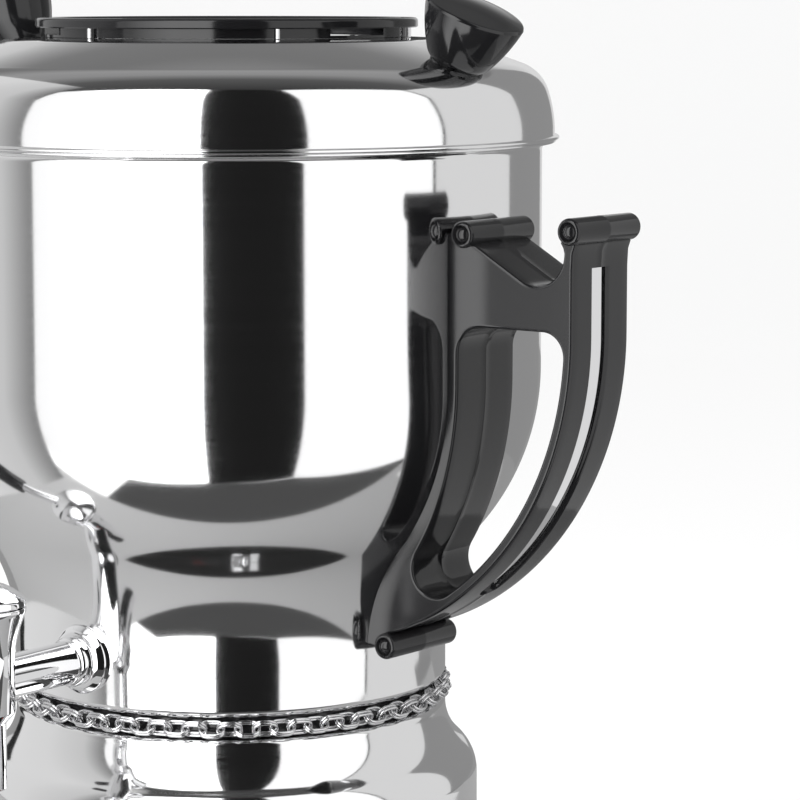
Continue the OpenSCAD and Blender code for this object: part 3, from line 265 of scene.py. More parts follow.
# %% Key light
key = bpy.data.lights.new("key_light", "AREA")
key.shape = "RECTANGLE"
key.size = 350 * mm
key.size_y = 1000 * mm
key.energy = 4.7
key_object = add_object("key_light", key)
key_object.location = studio(-500, 47, 500)
key_object.rotation_euler = to_right.to_track_quat("-Z", "Z").to_euler()
key_object.visible_camera = False
key_object.visible_glossy = False
print("key light:", round(key.energy, 2), "W")

# %% [markdown]
# ## Finishes
# Real polish is not perfectly smooth. The steel was buffed on a spindle, so it carries hair lines
# that run round it, and handled parts carry faint smudges. Both are needed in several materials, so
# each is one node group with its own inputs, and the shaders stay in the materials.

# %% Shared effects as node groups
def new_group(name, inputs, outputs):
    """An empty shader group with float sockets, and its two end nodes."""
    group = bpy.data.node_groups.new(name, "ShaderNodeTree")
    for label in inputs:
        group.interface.new_socket(label, in_out="INPUT", socket_type="NodeSocketFloat")
    for label in outputs:
        group.interface.new_socket(label, in_out="OUTPUT", socket_type="NodeSocketFloat")
    return group, group.nodes.new("NodeGroupInput"), group.nodes.new("NodeGroupOutput")


def math_node(tree, operation, first, second):
    """A math node fed by sockets or plain numbers."""
    node = tree.nodes.new("ShaderNodeMath")
    node.operation = operation
    for place, value in enumerate((first, second)):
        if isinstance(value, (int, float)):
            node.inputs[place].default_value = value
        else:
            tree.links.new(value, node.inputs[place])
    return node.outputs[0]


def spread_noise(group, ends_in, ends_out, noise):
    """Leads a noise to the group's roughness, spread between its low and its high value."""
    low, high = ends_in.outputs["Low"], ends_in.outputs["High"]
    span = math_node(group, "SUBTRACT", high, low)
    part = math_node(group, "MULTIPLY", noise, span)
    group.links.new(math_node(group, "ADD", part, low), ends_out.inputs["Roughness"])


def hair_lines_group():
    """Fine lines round the vertical axis: noise that changes fast with height and slowly round it."""
    group, ends_in, ends_out = new_group("hair_lines", ("Lines", "Low", "High"), ("Roughness",))
    place = group.nodes.new("ShaderNodeTexCoord").outputs["Object"]
    split = group.nodes.new("ShaderNodeSeparateXYZ")
    group.links.new(place, split.inputs[0])
    along = group.nodes.new("ShaderNodeCombineXYZ")
    slow = 6.0
    for axis, rate in (("X", slow), ("Y", slow), ("Z", ends_in.outputs["Lines"])):
        group.links.new(math_node(group, "MULTIPLY", split.outputs[axis], rate), along.inputs[axis])
    noise = node_out(group, "ShaderNodeTexNoise", Vector=along.outputs[0], Scale=1.0, Detail=3.0)
    spread_noise(group, ends_in, ends_out, noise)
    return group


def smudges_group():
    """Soft patches, as from hands and cloths: roughness that wanders between two values."""
    group, ends_in, ends_out = new_group("smudges", ("Scale", "Low", "High"), ("Roughness", "Mask"))
    place = group.nodes.new("ShaderNodeTexCoord").outputs["Object"]
    scale = ends_in.outputs["Scale"]
    noise = node_out(group, "ShaderNodeTexNoise", Vector=place, Scale=scale, Detail=4.0)
    spread_noise(group, ends_in, ends_out, noise)
    group.links.new(noise, ends_out.inputs["Mask"])
    return group


hair_lines = hair_lines_group()
smudges = smudges_group()
print("groups:", hair_lines.name, smudges.name)

# %% Materials
def finish(name, colour, metallic, group, values, relief=0.0):
    """A material whose roughness comes from a group's fineness, low and high, with an optional relief."""
    material = bpy.data.materials.new(name)
    material.use_nodes = True
    tree = material.node_tree
    shader = tree.nodes["Principled BSDF"]
    shader.inputs["Base Color"].default_value = (*colour, 1)
    shader.inputs["Metallic"].default_value = metallic
    effect = tree.nodes.new("ShaderNodeGroup")
    effect.node_tree = group
    for socket, value in zip(effect.inputs, values):
        socket.default_value = value
    tree.links.new(effect.outputs["Roughness"], shader.inputs["Roughness"])
    if relief:
        mask = effect.outputs["Mask"]
        bump = node_out(tree, "ShaderNodeBump", Height=mask, Strength=1.0, Distance=relief)
        tree.links.new(bump, shader.inputs["Normal"])
    return material


fine_relief, glaze_relief = 0.1 * mm, 0.05 * mm
polished_steel = finish("polished_steel", (0.90, 0.90, 0.905), 1.0, hair_lines, (900, 0.055, 0.11))
bright_chrome = finish("bright_chrome", (0.93, 0.93, 0.94), 1.0, smudges, (60, 0.02, 0.06))
# The chain's chrome is a darker copy of the bright chrome. That is painted shade, which tones down the
# chain's glare under the lamps, and its finish is also rougher.
shaded_chain_chrome = finish("shaded_chain_chrome", (0.74, 0.74, 0.75), 1.0, smudges, (120, 0.12, 0.22))
black_gloss = finish("black_gloss", (0.012, 0.012, 0.013), 0.0, smudges, (35, 0.06, 0.15))
node_finish = {
    "polished_steel": polished_steel,
    "chrome": bright_chrome,
    "black_plastic": black_gloss,
    "inner_steel": finish("plain_steel", (0.60, 0.60, 0.61), 1.0, smudges, (90, 0.22, 0.40)),
    "rubber": finish("soft_rubber", (0.022, 0.022, 0.023), 0.0, smudges, (220, 0.55, 0.80), fine_relief),
    "brass": finish("turned_brass", (0.78, 0.56, 0.24), 1.0, hair_lines, (1500, 0.15, 0.32)),
    "alloy": finish("cast_alloy", (0.68, 0.69, 0.71), 1.0, smudges, (400, 0.35, 0.6), fine_relief),
    "ceramic": finish("glazed_ceramic", (0.80, 0.77, 0.70), 0.0, smudges, (150, 0.3, 0.5), glaze_relief),
    "lamp": finish("red_lens", (0.55, 0.03, 0.015), 0.0, smudges, (80, 0.08, 0.16)),
}
for row in frame["record"]["subparts"]:
    node_object = frame["nodes"][row["node"]]
    node_object.data.materials.clear()
    node_object.data.materials.append(node_finish[row["material_slot"]])
print("materials:", len(node_finish))

# %% [markdown]
# ## Making round pieces
# Most of the samovar was spun or turned, so its pieces are outlines turned round an axis. A screw
# modifier could do that, but rings of points built directly give full control: windows can be left
# out of a wall, and the foot of a piece can be fitted to a curved neighbour.

# %% Helpers for outlines and round pieces
on_axis, merge_distance = 1e-6, 1e-7
sharp_from = 35


def on_circle(centre, radius, angle):
    """The point of a circle at an angle in degrees."""
    t = math.radians(angle)
    return (centre[0] + radius * math.cos(t), centre[1] + radius * math.sin(t))


def arc(centre, radius, start, end, steps):
    """Points on an arc, in millimetres, from one angle in degrees to another."""
    return [on_circle(centre, radius, start + (end - start) * i / steps) for i in range(steps + 1)]


def lathe(outline, sides=192):
    """Turns a closed outline of (radius, height) in millimetres round the Z axis."""
    mesh = bmesh.new()
    rings = []
    for radius, height in outline:
        if radius < on_axis:
            rings.append([mesh.verts.new((0, 0, height * mm))])
            continue
        ring = []
        for i in range(sides):
            t = 2 * math.pi * i / sides
            ring.append(mesh.verts.new((radius * mm * math.cos(t), radius * mm * math.sin(t), height * mm)))
        rings.append(ring)
    for here, there in zip(rings, rings[1:] + rings[:1]):
        for i in range(sides):
            j = (i + 1) % sides
            near = [here[i % len(here)], here[j % len(here)]]
            far = [there[j % len(there)], there[i % len(there)]]
            unique = list(dict.fromkeys(near + far))
            if len(unique) > 2:
                mesh.faces.new(unique)
    bmesh.ops.recalc_face_normals(mesh, faces=mesh.faces)
    return mesh


def mark_edges(mesh):
    """Smooth shading, with sharp edges where two faces meet at more than sharp_from degrees."""
    for face in mesh.faces:
        face.smooth = True
    for edge in mesh.edges:
        if len(edge.link_faces) == 2 and edge.calc_face_angle(0) > math.radians(sharp_from):
            edge.smooth = False


def mesh_object(name, mesh):
    """An object with the shape of a bmesh, which is used up."""
    data = bpy.data.meshes.new(name)
    mesh.to_mesh(data)
    mesh.free()
    return add_object(name, data)


def piece(name, mesh, material, body, nodes):
    """Turns a bmesh into a finished piece that rides on a body and stands for CAD nodes."""
    bmesh.ops.remove_doubles(mesh, verts=mesh.verts, dist=merge_distance)
    mark_edges(mesh)
    made = mesh_object(name, mesh)
    made.data.materials.append(material)
    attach(made, body)
    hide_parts(*nodes)
    print(name, len(made.data.polygons), "faces")


def cut_window(mesh, inside):
    """Leaves out the faces of a wall where inside(centre) holds, and closes the cut all round."""
    gone = [f for f in mesh.faces if inside(f.calc_center_median())]
    bmesh.ops.delete(mesh, geom=gone, context="FACES")
    open_edges = [e for e in mesh.edges if len(e.link_faces) == 1]
    bmesh.ops.bridge_loops(mesh, edges=open_edges)
    bmesh.ops.delete(mesh, geom=[v for v in mesh.verts if not v.link_edges], context="VERTS")
    bmesh.ops.recalc_face_normals(mesh, faces=mesh.faces)


def turn_to(direction, place):
    """A matrix that lays the Z axis along a direction and moves the origin to a place in millimetres."""
    facing = Vector(direction).to_track_quat("Z", "Y").to_matrix().to_4x4()
    return Matrix.Translation(Vector(place) * mm) @ facing


print("helpers ready")

# %% [markdown]
# ## Vessel, drum and waist
# The vessel is a straight wall that bulges in to a narrow neck, and the drum flares out again
# below it. Both are smooth revolved shells, because any facet would break up the reflections.

# %% Vessel
vessel_r, vessel_wall, rim_z, rim_out, rim_bend = 110, 1, 299.2, 4.8, 2.5
bowl_top_z, bowl_bend, bowl_turn = 219.4, 85, 40
neck_r, neck_corner, vessel_foot_z = 76.5, 2.8, 108.9
neck_bend = (vessel_r - neck_r) / (1 - math.cos(math.radians(bowl_turn))) - bowl_bend
neck_top_z = bowl_top_z - (bowl_bend + neck_bend) * math.sin(math.radians(bowl_turn))
bowl_centre = (vessel_r - bowl_bend, bowl_top_z)


def vessel_side(out):
    """The side from the foot of the neck up to the straight wall, moved outwards."""
    corner = (neck_r - neck_corner, vessel_foot_z + neck_corner)
    return (
        arc(corner, neck_corner + out, -90, 0, 10)
        + arc((neck_r + neck_bend, neck_top_z), neck_bend - out, 180, 180 - bowl_turn, 40)
        + arc(bowl_centre, bowl_bend + out, -bowl_turn, 0, 40)
    )


rim_centre = (vessel_r + rim_bend, rim_z - vessel_wall - rim_bend)
rim_edge = (vessel_r + rim_out - vessel_wall / 2, rim_z - vessel_wall / 2)
vessel_outline = (
    [(0, vessel_foot_z)]
    + vessel_side(0)
    + arc(rim_centre, rim_bend, 180, 90, 10)
    + arc(rim_edge, vessel_wall / 2, -90, 90, 8)
    + arc(rim_centre, rim_bend + vessel_wall, 90, 180, 10)
    + vessel_side(-vessel_wall)[::-1]
    + [(0, vessel_foot_z + vessel_wall)]
)
piece("vessel_shell", lathe(vessel_outline, 256), polished_steel, "samovar", ["vessel"])

# %% Drum, with the opening for the power inlet
drum_r, drum_wall, shoulder_top_z, shoulder_corner = 87.9, 1, 101.6, 2.2
flare_z, flare_turn, flare_in_bend, drum_mouth_r, drum_foot_z = 99.4, 47, 20, 66, 19
flare_out_bend = (drum_r - neck_r) / (1 - math.cos(math.radians(flare_turn))) - flare_in_bend
flare_end_z = flare_z - (flare_in_bend + flare_out_bend) * math.sin(math.radians(flare_turn))
inlet_z, inlet_half_w, inlet_half_h = 46, 14.15, 10.15


def drum_side(out):
    """The side from the drum's mouth down to its foot, moved outwards."""
    corner = (neck_r - shoulder_corner, shoulder_top_z - shoulder_corner)
    return (
        arc(corner, shoulder_corner + out, 90, 0, 10)
        + arc((neck_r + flare_in_bend, flare_z), flare_in_bend - out, 180, 180 + flare_turn, 24)
        + arc((drum_r - flare_out_bend, flare_end_z), flare_out_bend + out, flare_turn, 0, 24)
        + [(drum_r + out, inlet_z + inlet_half_h), (drum_r + out, inlet_z - inlet_half_h)]
        + [(drum_r + out, drum_foot_z)]
    )


drum_outline = (
    [(drum_mouth_r, shoulder_top_z)]
    + drum_side(0)
    + drum_side(-drum_wall)[::-1]
    + [(drum_mouth_r, shoulder_top_z - drum_wall)]
)
drum = lathe(drum_outline, 240)


def in_inlet_hole(place):
    """Whether a face lies where the power inlet passes through the wall."""
    side_on = abs(place.x) < inlet_half_w * mm and place.y > 0
    return side_on and abs(place.z - inlet_z * mm) < inlet_half_h * mm


cut_window(drum, in_inlet_hole)
piece("drum_shell", drum, polished_steel, "samovar", ["base_shell"])

# %% Waist ring and base moulding
waist_r, waist_inner_r, waist_bevel = 72.5, 68, 0.4
waist_outline = [
    (waist_inner_r, shoulder_top_z),
    (waist_r - waist_bevel, shoulder_top_z),
    (waist_r, shoulder_top_z + waist_bevel),
    (waist_r, vessel_foot_z - waist_bevel),
    (waist_r - waist_bevel, vessel_foot_z),
    (waist_inner_r, vessel_foot_z),
]
piece("waist_groove", lathe(waist_outline), black_gloss, "samovar", ["waist_ring"])

base_ring_r, base_ring_top_z, plate_z, plate_t, plate_r = 91.5, 23, 6, 1.2, 83
base_drop, base_soft, base_wall, ledge_w, slot_play = 1, 1.5, 2, 6, 0.05
seat_gap, hole_gap, clear_gap = 0.1, 0.15, 0.3
base_foot_z, slot_foot_z = plate_z - base_drop, drum_foot_z - slot_play
ledge_r, ledge_z = plate_r - ledge_w, plate_z + plate_t
slot_out, slot_in = drum_r + hole_gap, drum_r - drum_wall - hole_gap
base_inner_r, base_soft_r = slot_in - base_wall, base_ring_r - base_soft
base_outline = (
    [(ledge_r, ledge_z), (plate_r + clear_gap, ledge_z), (plate_r + clear_gap, base_foot_z)]
    + arc((base_soft_r, base_foot_z + base_soft), base_soft, -90, 0, 8)
    + arc((base_soft_r, base_ring_top_z - base_soft), base_soft, 0, 90, 8)
    + [(slot_out, base_ring_top_z), (slot_out, slot_foot_z), (slot_in, slot_foot_z)]
    + [(slot_in, base_ring_top_z), (base_inner_r, base_ring_top_z), (base_inner_r, ledge_z + base_wall)]
    + [(ledge_r, ledge_z + base_wall)]
)
piece("base_moulding", lathe(base_outline), black_gloss, "samovar", ["base_ring"])

# %% [markdown]
# ## Waist chain
# The chain is the samovar's ornament: pairs of oval wire links, one pair upright, the next flat,
# all round the waist. It repeats by a rule, so Geometry Nodes place it: a filleted rectangle is
# swept to one link, two links make a pair, and the pair is set on points round a circle. A small
# random tilt keeps it from looking machined, as on a chain that lies loose in its groove.

# %% Sizes of the chain
chain_rise = 0.15
chain_z = (shoulder_top_z + vessel_foot_z) / 2 + chain_rise
chain_sizes = (
    ("Ring Radius", 75.7 * mm),
    ("Height", chain_z * mm),
    ("Link Length", 9.2 * mm),
    ("Link Width", 6.6 * mm),
    ("Wire", 1.0 * mm),
    ("Pair Gap", 0.1 * mm),
    ("Lean", math.radians(40)),
    ("Tilt", math.radians(6)),
)
chain_pairs, chain_seed = 80, 4
end_share, end_steps, wire_sides = 0.499, 7, 10
print("pairs of links:", chain_pairs)

# %% Chain by Geometry Nodes
def link_pair(tree, size):
    """Two oval wire links side by side."""
    long = math_node(tree, "SUBTRACT", size["Link Length"], size["Wire"])
    wide = math_node(tree, "SUBTRACT", size["Link Width"], size["Wire"])
    box = node_out(tree, "GeometryNodeCurvePrimitiveQuadrilateral", Width=long, Height=wide)
    bend = math_node(tree, "MULTIPLY", wide, end_share)
    oval = node_out(tree, "GeometryNodeFilletCurve", Curve=box, Radius=bend)
    oval.node.mode = "POLY"
    oval.node.inputs["Count"].default_value = end_steps
    wire_r = math_node(tree, "MULTIPLY", size["Wire"], 0.5)
    wire = node_out(tree, "GeometryNodeCurvePrimitiveCircle", Resolution=wire_sides, Radius=wire_r)
    link = node_out(tree, "GeometryNodeCurveToMesh", Curve=oval, Profile_Curve=wire)
    apart = math_node(tree, "ADD", size["Wire"], size["Pair Gap"])
    pair = tree.nodes.new("GeometryNodeJoinGeometry")
    for side in (-0.5, 0.5):
        offset = node_out(tree, "ShaderNodeCombineXYZ", Z=math_node(tree, "MULTIPLY", apart, side))
        moved = node_out(tree, "GeometryNodeTransform", Geometry=link, Translation=offset)
        tree.links.new(moved, pair.inputs[0])
    return pair.outputs[0]


def chain_tree():
    """The tree that makes a pair of links and sets copies of it round the waist."""
    tree = bpy.data.node_groups.new("waist_chain", "GeometryNodeTree")
    for label, value in chain_sizes:
        socket = tree.interface.new_socket(label, in_out="INPUT", socket_type="NodeSocketFloat")
        socket.default_value = value
    tree.interface.new_socket("Geometry", in_out="OUTPUT", socket_type="NodeSocketGeometry")
    size = tree.nodes.new("NodeGroupInput").outputs
    result = tree.nodes.new("NodeGroupOutput")
    pair = link_pair(tree, size)

    number = node_out(tree, "GeometryNodeInputIndex")
    turn = math_node(tree, "MULTIPLY", number, 2 * math.pi / chain_pairs)
    across = math_node(tree, "MULTIPLY", size["Ring Radius"], math_node(tree, "SINE", turn, 0.0))
    ahead = math_node(tree, "MULTIPLY", size["Ring Radius"], math_node(tree, "COSINE", turn, 0.0))
    front = math_node(tree, "MULTIPLY", ahead, -1.0)
    place = node_out(tree, "ShaderNodeCombineXYZ", X=across, Y=front, Z=size["Height"])
    points = node_out(tree, "GeometryNodePoints", Count=chain_pairs, Position=place)

    stood = math_node(tree, "MULTIPLY", math_node(tree, "MODULO", number, 2.0), math.pi / 2)
    chance = tree.nodes.new("FunctionNodeRandomValue")
    chance.inputs["Seed"].default_value = chain_seed
    floats = [s for s in chance.inputs if s.type == "VALUE"]
    floats[0].default_value, floats[1].default_value = -1.0, 1.0
    drawn = [s for s in chance.outputs if s.type == "VALUE"][0]
    tilt = math_node(tree, "MULTIPLY", drawn, size["Tilt"])
    leant = math_node(tree, "ADD", size["Lean"], math_node(tree, "ADD", stood, tilt))
    spin = node_out(tree, "ShaderNodeCombineXYZ", X=leant, Z=turn)
    copies = node_out(tree, "GeometryNodeInstanceOnPoints", Points=points, Instance=pair, Rotation=spin)
    real = node_out(tree, "GeometryNodeRealizeInstances", Geometry=copies)
    smooth = node_out(tree, "GeometryNodeSetShadeSmooth", Geometry=real)
    # The links take the darker chrome, which carries painted shade.
    dressed = node_out(tree, "GeometryNodeSetMaterial", Geometry=smooth, Material=shaded_chain_chrome)
    tree.links.new(dressed, result.inputs[0])
    return tree


def evaluated_mesh(thing):
    """The mesh of an object with its modifiers applied."""
    bpy.context.view_layer.update()
    depsgraph = bpy.context.evaluated_depsgraph_get()
    return bpy.data.meshes.new_from_object(thing.evaluated_get(depsgraph))


def grown(name, tree):
    """An object with the plain mesh that a Geometry Nodes tree makes."""
    host = add_object(name, bpy.data.meshes.new(name))
    modifier = host.modifiers.new("grow", "NODES")
    modifier.node_group = tree
    result = evaluated_mesh(host)
    host.modifiers.clear()
    host.data = result
    result.name = name
    return host


waist_chain = grown("waist_chain", chain_tree())
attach(waist_chain, "samovar")
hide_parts("decor_chain")
print("chain faces:", len(waist_chain.data.polygons))

# %% [markdown]
# ## Lid, vent ring and lid knobs
# The lid is a shallow crown with a rounded corner and a thin lip. The black vent ring on it carries
# a teapot, and lets steam out through the windows in its wall. The knobs are turned pieces that lean
# outwards, and their feet follow the crown.

# %% Lid
lid_r, lid_wall, lid_lip_out, lid_side_h = 114.4, 1, 1.6, 2.3
lid_side_bend, lid_side_turn, lid_corner = 47, 18, 15
brow_slope, brow_w, brow_bend, crown_bend = 18, 25.1, 20, 1400
brow_swell, brow_shares = 0.8, (0.03, 0.1, 0.2, 0.35, 0.5, 0.65, 0.8, 0.9, 0.97)
steam_r, steam_collar = 48, 7
fall = math.radians(brow_slope)
lid_side_centre = (lid_r - lid_side_bend, rim_z + lid_side_h)
lid_corner_centre = on_circle(lid_side_centre, lid_side_bend - lid_corner, lid_side_turn)
brow_foot = on_circle(lid_corner_centre, lid_corner, 90 - brow_slope)
brow_top = (brow_foot[0] - brow_w, brow_foot[1] + brow_w * math.tan(fall))
crown_slope = math.degrees(math.asin(brow_top[0] / crown_bend))
crown_low = brow_top[1] - crown_bend * math.cos(math.radians(crown_slope))
brow_tangent = brow_bend * math.tan(math.radians(brow_slope - crown_slope) / 2)
brow_centre = (
    brow_top[0] + brow_tangent * math.cos(fall) - brow_bend * math.sin(fall),
    brow_top[1] - brow_tangent * math.sin(fall) - brow_bend * math.cos(fall),
)


def crown_z(radius):
    """Height of the outer face on the crown or the brow at a distance from the centre line."""
    if radius < brow_top[0]:
        return crown_low + math.sqrt(crown_bend**2 - radius**2)
    return brow_foot[1] + (brow_foot[0] - radius) * math.tan(fall)


def lid_face(out, end):
    """The lid's face from the foot of its side to a distance from the centre line, moved outwards."""
    bend = crown_bend + out
    brow_end = brow_centre[0] + (brow_bend + out) * math.sin(math.radians(crown_slope))
    first, last = (math.degrees(math.acos(radius / bend)) for radius in (brow_end, end))
    corner = arc(lid_corner_centre, lid_corner + out, lid_side_turn, 90 - brow_slope, 40)
    turn = arc(brow_centre, brow_bend + out, 90 - brow_slope, 90 - crown_slope, 12)
    low, high = Vector(corner[-1]), Vector(turn[0])
    swell = brow_swell * Vector((math.sin(fall), math.cos(fall)))
    brow = [tuple(low.lerp(high, k) + swell * k * (1 - k)) for k in brow_shares]
    side = arc(lid_side_centre, lid_side_bend + out, 0, lid_side_turn, 20)
    return side + corner[1:] + brow + turn + arc((0, crown_low), bend, first, last, 12)[1:]


bead_r, lip_gap, lip_fillet, lip_rise = 0.7, 0.02, 0.35, 0.3
collar_z = crown_z(steam_r) - steam_collar
bead_centre = (lid_r + lid_lip_out - bead_r, rim_z + bead_r + lip_gap)
fillet_centre = (lid_r + lip_fillet, rim_z + 2 * bead_r + lip_rise)
# The mouth's edge, as steps out from its wall and down from the crown.
mouth_edge = ((0.2, 0.3), (0, 1.2))
mouth_edge_start = 1
lid_outline = (
    [(lid_r - lid_wall, rim_z + lip_gap)]
    + arc(bead_centre, bead_r, -90, 110, 14)
    + arc(fillet_centre, lip_fillet, 270, 180, 4)
    + lid_face(0, steam_r + mouth_edge_start)
    + [(steam_r + out, crown_z(steam_r) - down) for out, down in mouth_edge]
    + [(steam_r, collar_z), (steam_r + lid_wall, collar_z)]
    + lid_face(-lid_wall, steam_r + lid_wall)[::-1]
)
piece("lid_shell", lathe(lid_outline, 256), polished_steel, "lid", ["lid"])

# %% Vent ring
flange_r, vent_wall_r, vent_wall, vent_gap, flange_t = 66.6, 63.2, 5, 3.3, 3.4
window_count, window_w, window_h, window_turn = 3, 26, 2.4, -34
vent_inner = vent_wall_r - vent_wall
under_z = crown_z(vent_wall_r) + vent_gap
top_z = under_z + flange_t
window_z = under_z - window_h
flange_edge, flange_bevel, seat_steps = 1.2, 0.4, 4
recess_out, recess_in, recess_depth = 3, 1.5, 1.2
wall_margin = 0.1
seat_radii = [vent_inner + vent_wall * i / seat_steps for i in range(seat_steps + 1)]
recess_z = top_z - recess_depth
vent_outline = (
    [(radius, crown_z(radius) + seat_gap) for radius in seat_radii]
    + [(vent_wall_r, window_z), (vent_wall_r, under_z)]
    + [(flange_r - flange_bevel, under_z), (flange_r, under_z + flange_bevel)]
    + arc((flange_r - flange_edge, top_z - flange_edge), flange_edge, 0, 90, 8)
    + [(vent_inner + recess_out, top_z), (vent_inner + recess_in, recess_z), (vent_inner, recess_z)]
    + [(vent_inner, under_z), (vent_inner, window_z)]
)
vent = lathe(vent_outline, 360)


def in_steam_window(place, middle):
    """Whether a face of the wall lies in the steam window at an angle in degrees."""
    on_wall = window_z * mm < place.z < under_z * mm and place.xy.length < (vent_wall_r + wall_margin) * mm
    turn = (math.degrees(math.atan2(place.x, -place.y)) - middle + 180) % 360 - 180
    return on_wall and abs(turn) < math.degrees(window_w / 2 / vent_wall_r)


for i in range(window_count):
    middle = window_turn + i * 360 / window_count
    cut_window(vent, lambda place: in_steam_window(place, middle))
piece("vent_ring_moulding", vent, black_gloss, "lid", ["vent_ring"])

# %% Lid knobs
knob_at, knob_lean, knob_len = 100, 25, 19.4
knob_foot_r, knob_top_r, knob_bulge, knob_crown, knob_sunk = 9.8, 17, 0.9, 1.6, 4
sides = (("right", 0), ("left", math.pi))


def crown_height_over(point):
    """How far a point in metres lies above the lid's outer face."""
    radius = point.xy.length / mm
    if radius < brow_foot[0]:
        return point.z / mm - crown_z(radius)
    over = lid_corner**2 - (radius - lid_corner_centre[0]) ** 2
    return point.z / mm - lid_corner_centre[1] - math.sqrt(max(over, 0))


def knob_outline():
    """The knob's outline round its own axis, from below the crown up to its top."""
    round_edge, round_foot, foot_tuck, flank_steps = 1.2, 2.4, 0.9, 32
    edge_r, edge_in, edge_down, top_in = 0.8, 0.96, 0.84, 1.9
    flank = []
    for i in range(flank_steps + 1):
        k = i / flank_steps
        height = (knob_len - round_edge) * k
        tuck = foot_tuck * max(0, 1 - height / round_foot) ** 2
        bulge = 4 * knob_bulge * k * (1 - k)
        flank.append((knob_foot_r + (knob_top_r - knob_foot_r) * k + bulge - tuck, height))
    edge = arc((knob_top_r - edge_in, knob_len - edge_down), edge_r, 0, 75, 6)
    top_shares = (1, 0.8, 0.6, 0.4, 0.2, 0)
    top = [((knob_top_r - top_in) * k, knob_len + knob_crown * (1 - k * k)) for k in top_shares]
    return [(0, -knob_sunk), (knob_foot_r - foot_tuck, -knob_sunk)] + flank + edge + top


def knob_mesh():
    """One knob round its leaning axis, with the foot ring slid down to the crown."""
    foot_margin, settling_steps = 0.1, 12
    lean = math.radians(knob_lean)
    axis = Vector((math.sin(lean), 0, math.cos(lean)))
    stand = turn_to(axis, (knob_at, 0, crown_z(knob_at)))
    mesh = lathe(knob_outline(), 96)
    mesh.transform(stand)
    foot = stand @ Vector((0, 0, (foot_margin - knob_sunk) * mm))
    for vertex in mesh.verts:
        if (vertex.co - foot).dot(axis) < 0:
            for _ in range(settling_steps):
                vertex.co -= axis * (crown_height_over(vertex.co) - seat_gap) * mm
    bmesh.ops.recalc_face_normals(mesh, faces=mesh.faces)
    return mesh


for side, turn in sides:
    mesh = knob_mesh()
    mesh.transform(Matrix.Rotation(turn, 4, "Z"))
    piece("lid_knob_turned_" + side, mesh, black_gloss, "lid", ["lid_knob_" + side])

# %% [markdown]
# ## Handles
# Each handle is one black moulding: a limb that lies on the vessel, an arm outside the fingers, a
# bridge between them, and three rolls with buttoned ends. Its outline is drawn in the plane through
# the vessel's axis, and given its width in slices, so that the edges can be rounded slice by slice
# and the seat can follow the round wall. The rolls and the groove are joined and cut by booleans.

# %% Outline of a handle
handle_w, roll_len, roll_r = 32, 35.8, 4.4
limb_t, limb_bend, limb_top_z = 2.5, 110, 222.5
arm_centre, arm_bend, arm_t = (47.5, 240), 107.2, 3.6
bridge_z, dip_z, dip_bend, bridge_slope = 241.7, 256.4, 11, 29.5
gap_inner_corner, gap_outer_corner, gap_foot_corner = 9.5, 8, 9
arm_outer = arm_bend + arm_t
arm_in_r, arm_out_r = arm_centre[0] + arm_bend, arm_centre[0] + arm_outer
limb_r = vessel_r + limb_t
limb_centre = (limb_r - limb_bend, limb_top_z)
inner_roll_out, inner_roll_z, outer_roll_in, outer_roll_z = 5.5, 271.7, 0.6, 274.5
inner_roll = (vessel_r + inner_roll_out, inner_roll_z)
outer_roll = (arm_out_r - outer_roll_in, outer_roll_z)
# The arm's flare below its roll: outside as steps out and heights, inside as steps in and down.
flare_outside = ((0, 262), (0.3, 267.5), (1.2, 270))
flare_inside = ((1.4, 3.6), (0.4, 5.5))
seat_rows = 60
foot_roll_angle, foot_roll_out = -71.7, 3.6
foot_roll = on_circle(arm_centre, arm_outer + foot_roll_out, foot_roll_angle)
dip_centre = (arm_in_r - dip_bend, dip_z + dip_bend)


def bearing(start, end):
    """Angle of the line from one point to another, in degrees."""
    return math.degrees(math.atan2(end[1] - start[1], end[0] - start[0]))


def meet(a, ra, b, rb):
    """The lower right crossing point of two circles."""
    gap = Vector((b[0] - a[0], b[1] - a[1]))
    reach = gap.length
    along = (ra * ra - rb * rb + reach * reach) / (2 * reach)
    side = math.sqrt(ra * ra - along * along)
    unit = gap / reach
    point = Vector(a) + unit * along + Vector((-unit.y, unit.x)) * side
    return (point.x, point.y)


def vessel_r_at(height):
    """Outer radius of the vessel at a height."""
    if height >= bowl_top_z:
        return vessel_r
    bend_z = bowl_top_z - bowl_bend * math.sin(math.radians(bowl_turn))
    if height >= bend_z:
        return bowl_centre[0] + math.sqrt(bowl_bend**2 - (height - bowl_top_z) ** 2)
    return neck_r + neck_bend - math.sqrt(neck_bend**2 - (height - neck_top_z) ** 2)


def outer_loop():
    """The handle's outline, anticlockwise from the foot: its free points, and the heights of its seat."""
    run_angle = math.radians(180 - bridge_slope)
    dip = arc(dip_centre, dip_bend, 0, -90 - bridge_slope, 24)
    run = (dip[-1][0] - inner_roll[0]) / math.cos(math.radians(bridge_slope))
    slope_end = (dip[-1][0] + run * math.cos(run_angle), dip[-1][1] + run * math.sin(run_angle))
    free = (
        [foot_roll]
        + arc(arm_centre, arm_outer, foot_roll_angle, 0, 64)
        + [(arm_out_r + out, height) for out, height in flare_outside]
        + [outer_roll]
        + [(arm_in_r - back, outer_roll_z - down) for back, down in flare_inside]
        + dip
        + [slope_end, inner_roll]
    )
    seat_drop = foot_roll[1] - inner_roll[1]
    heights = [inner_roll[1] + seat_drop * i / seat_rows for i in range(seat_rows + 1)]
    return free, heights


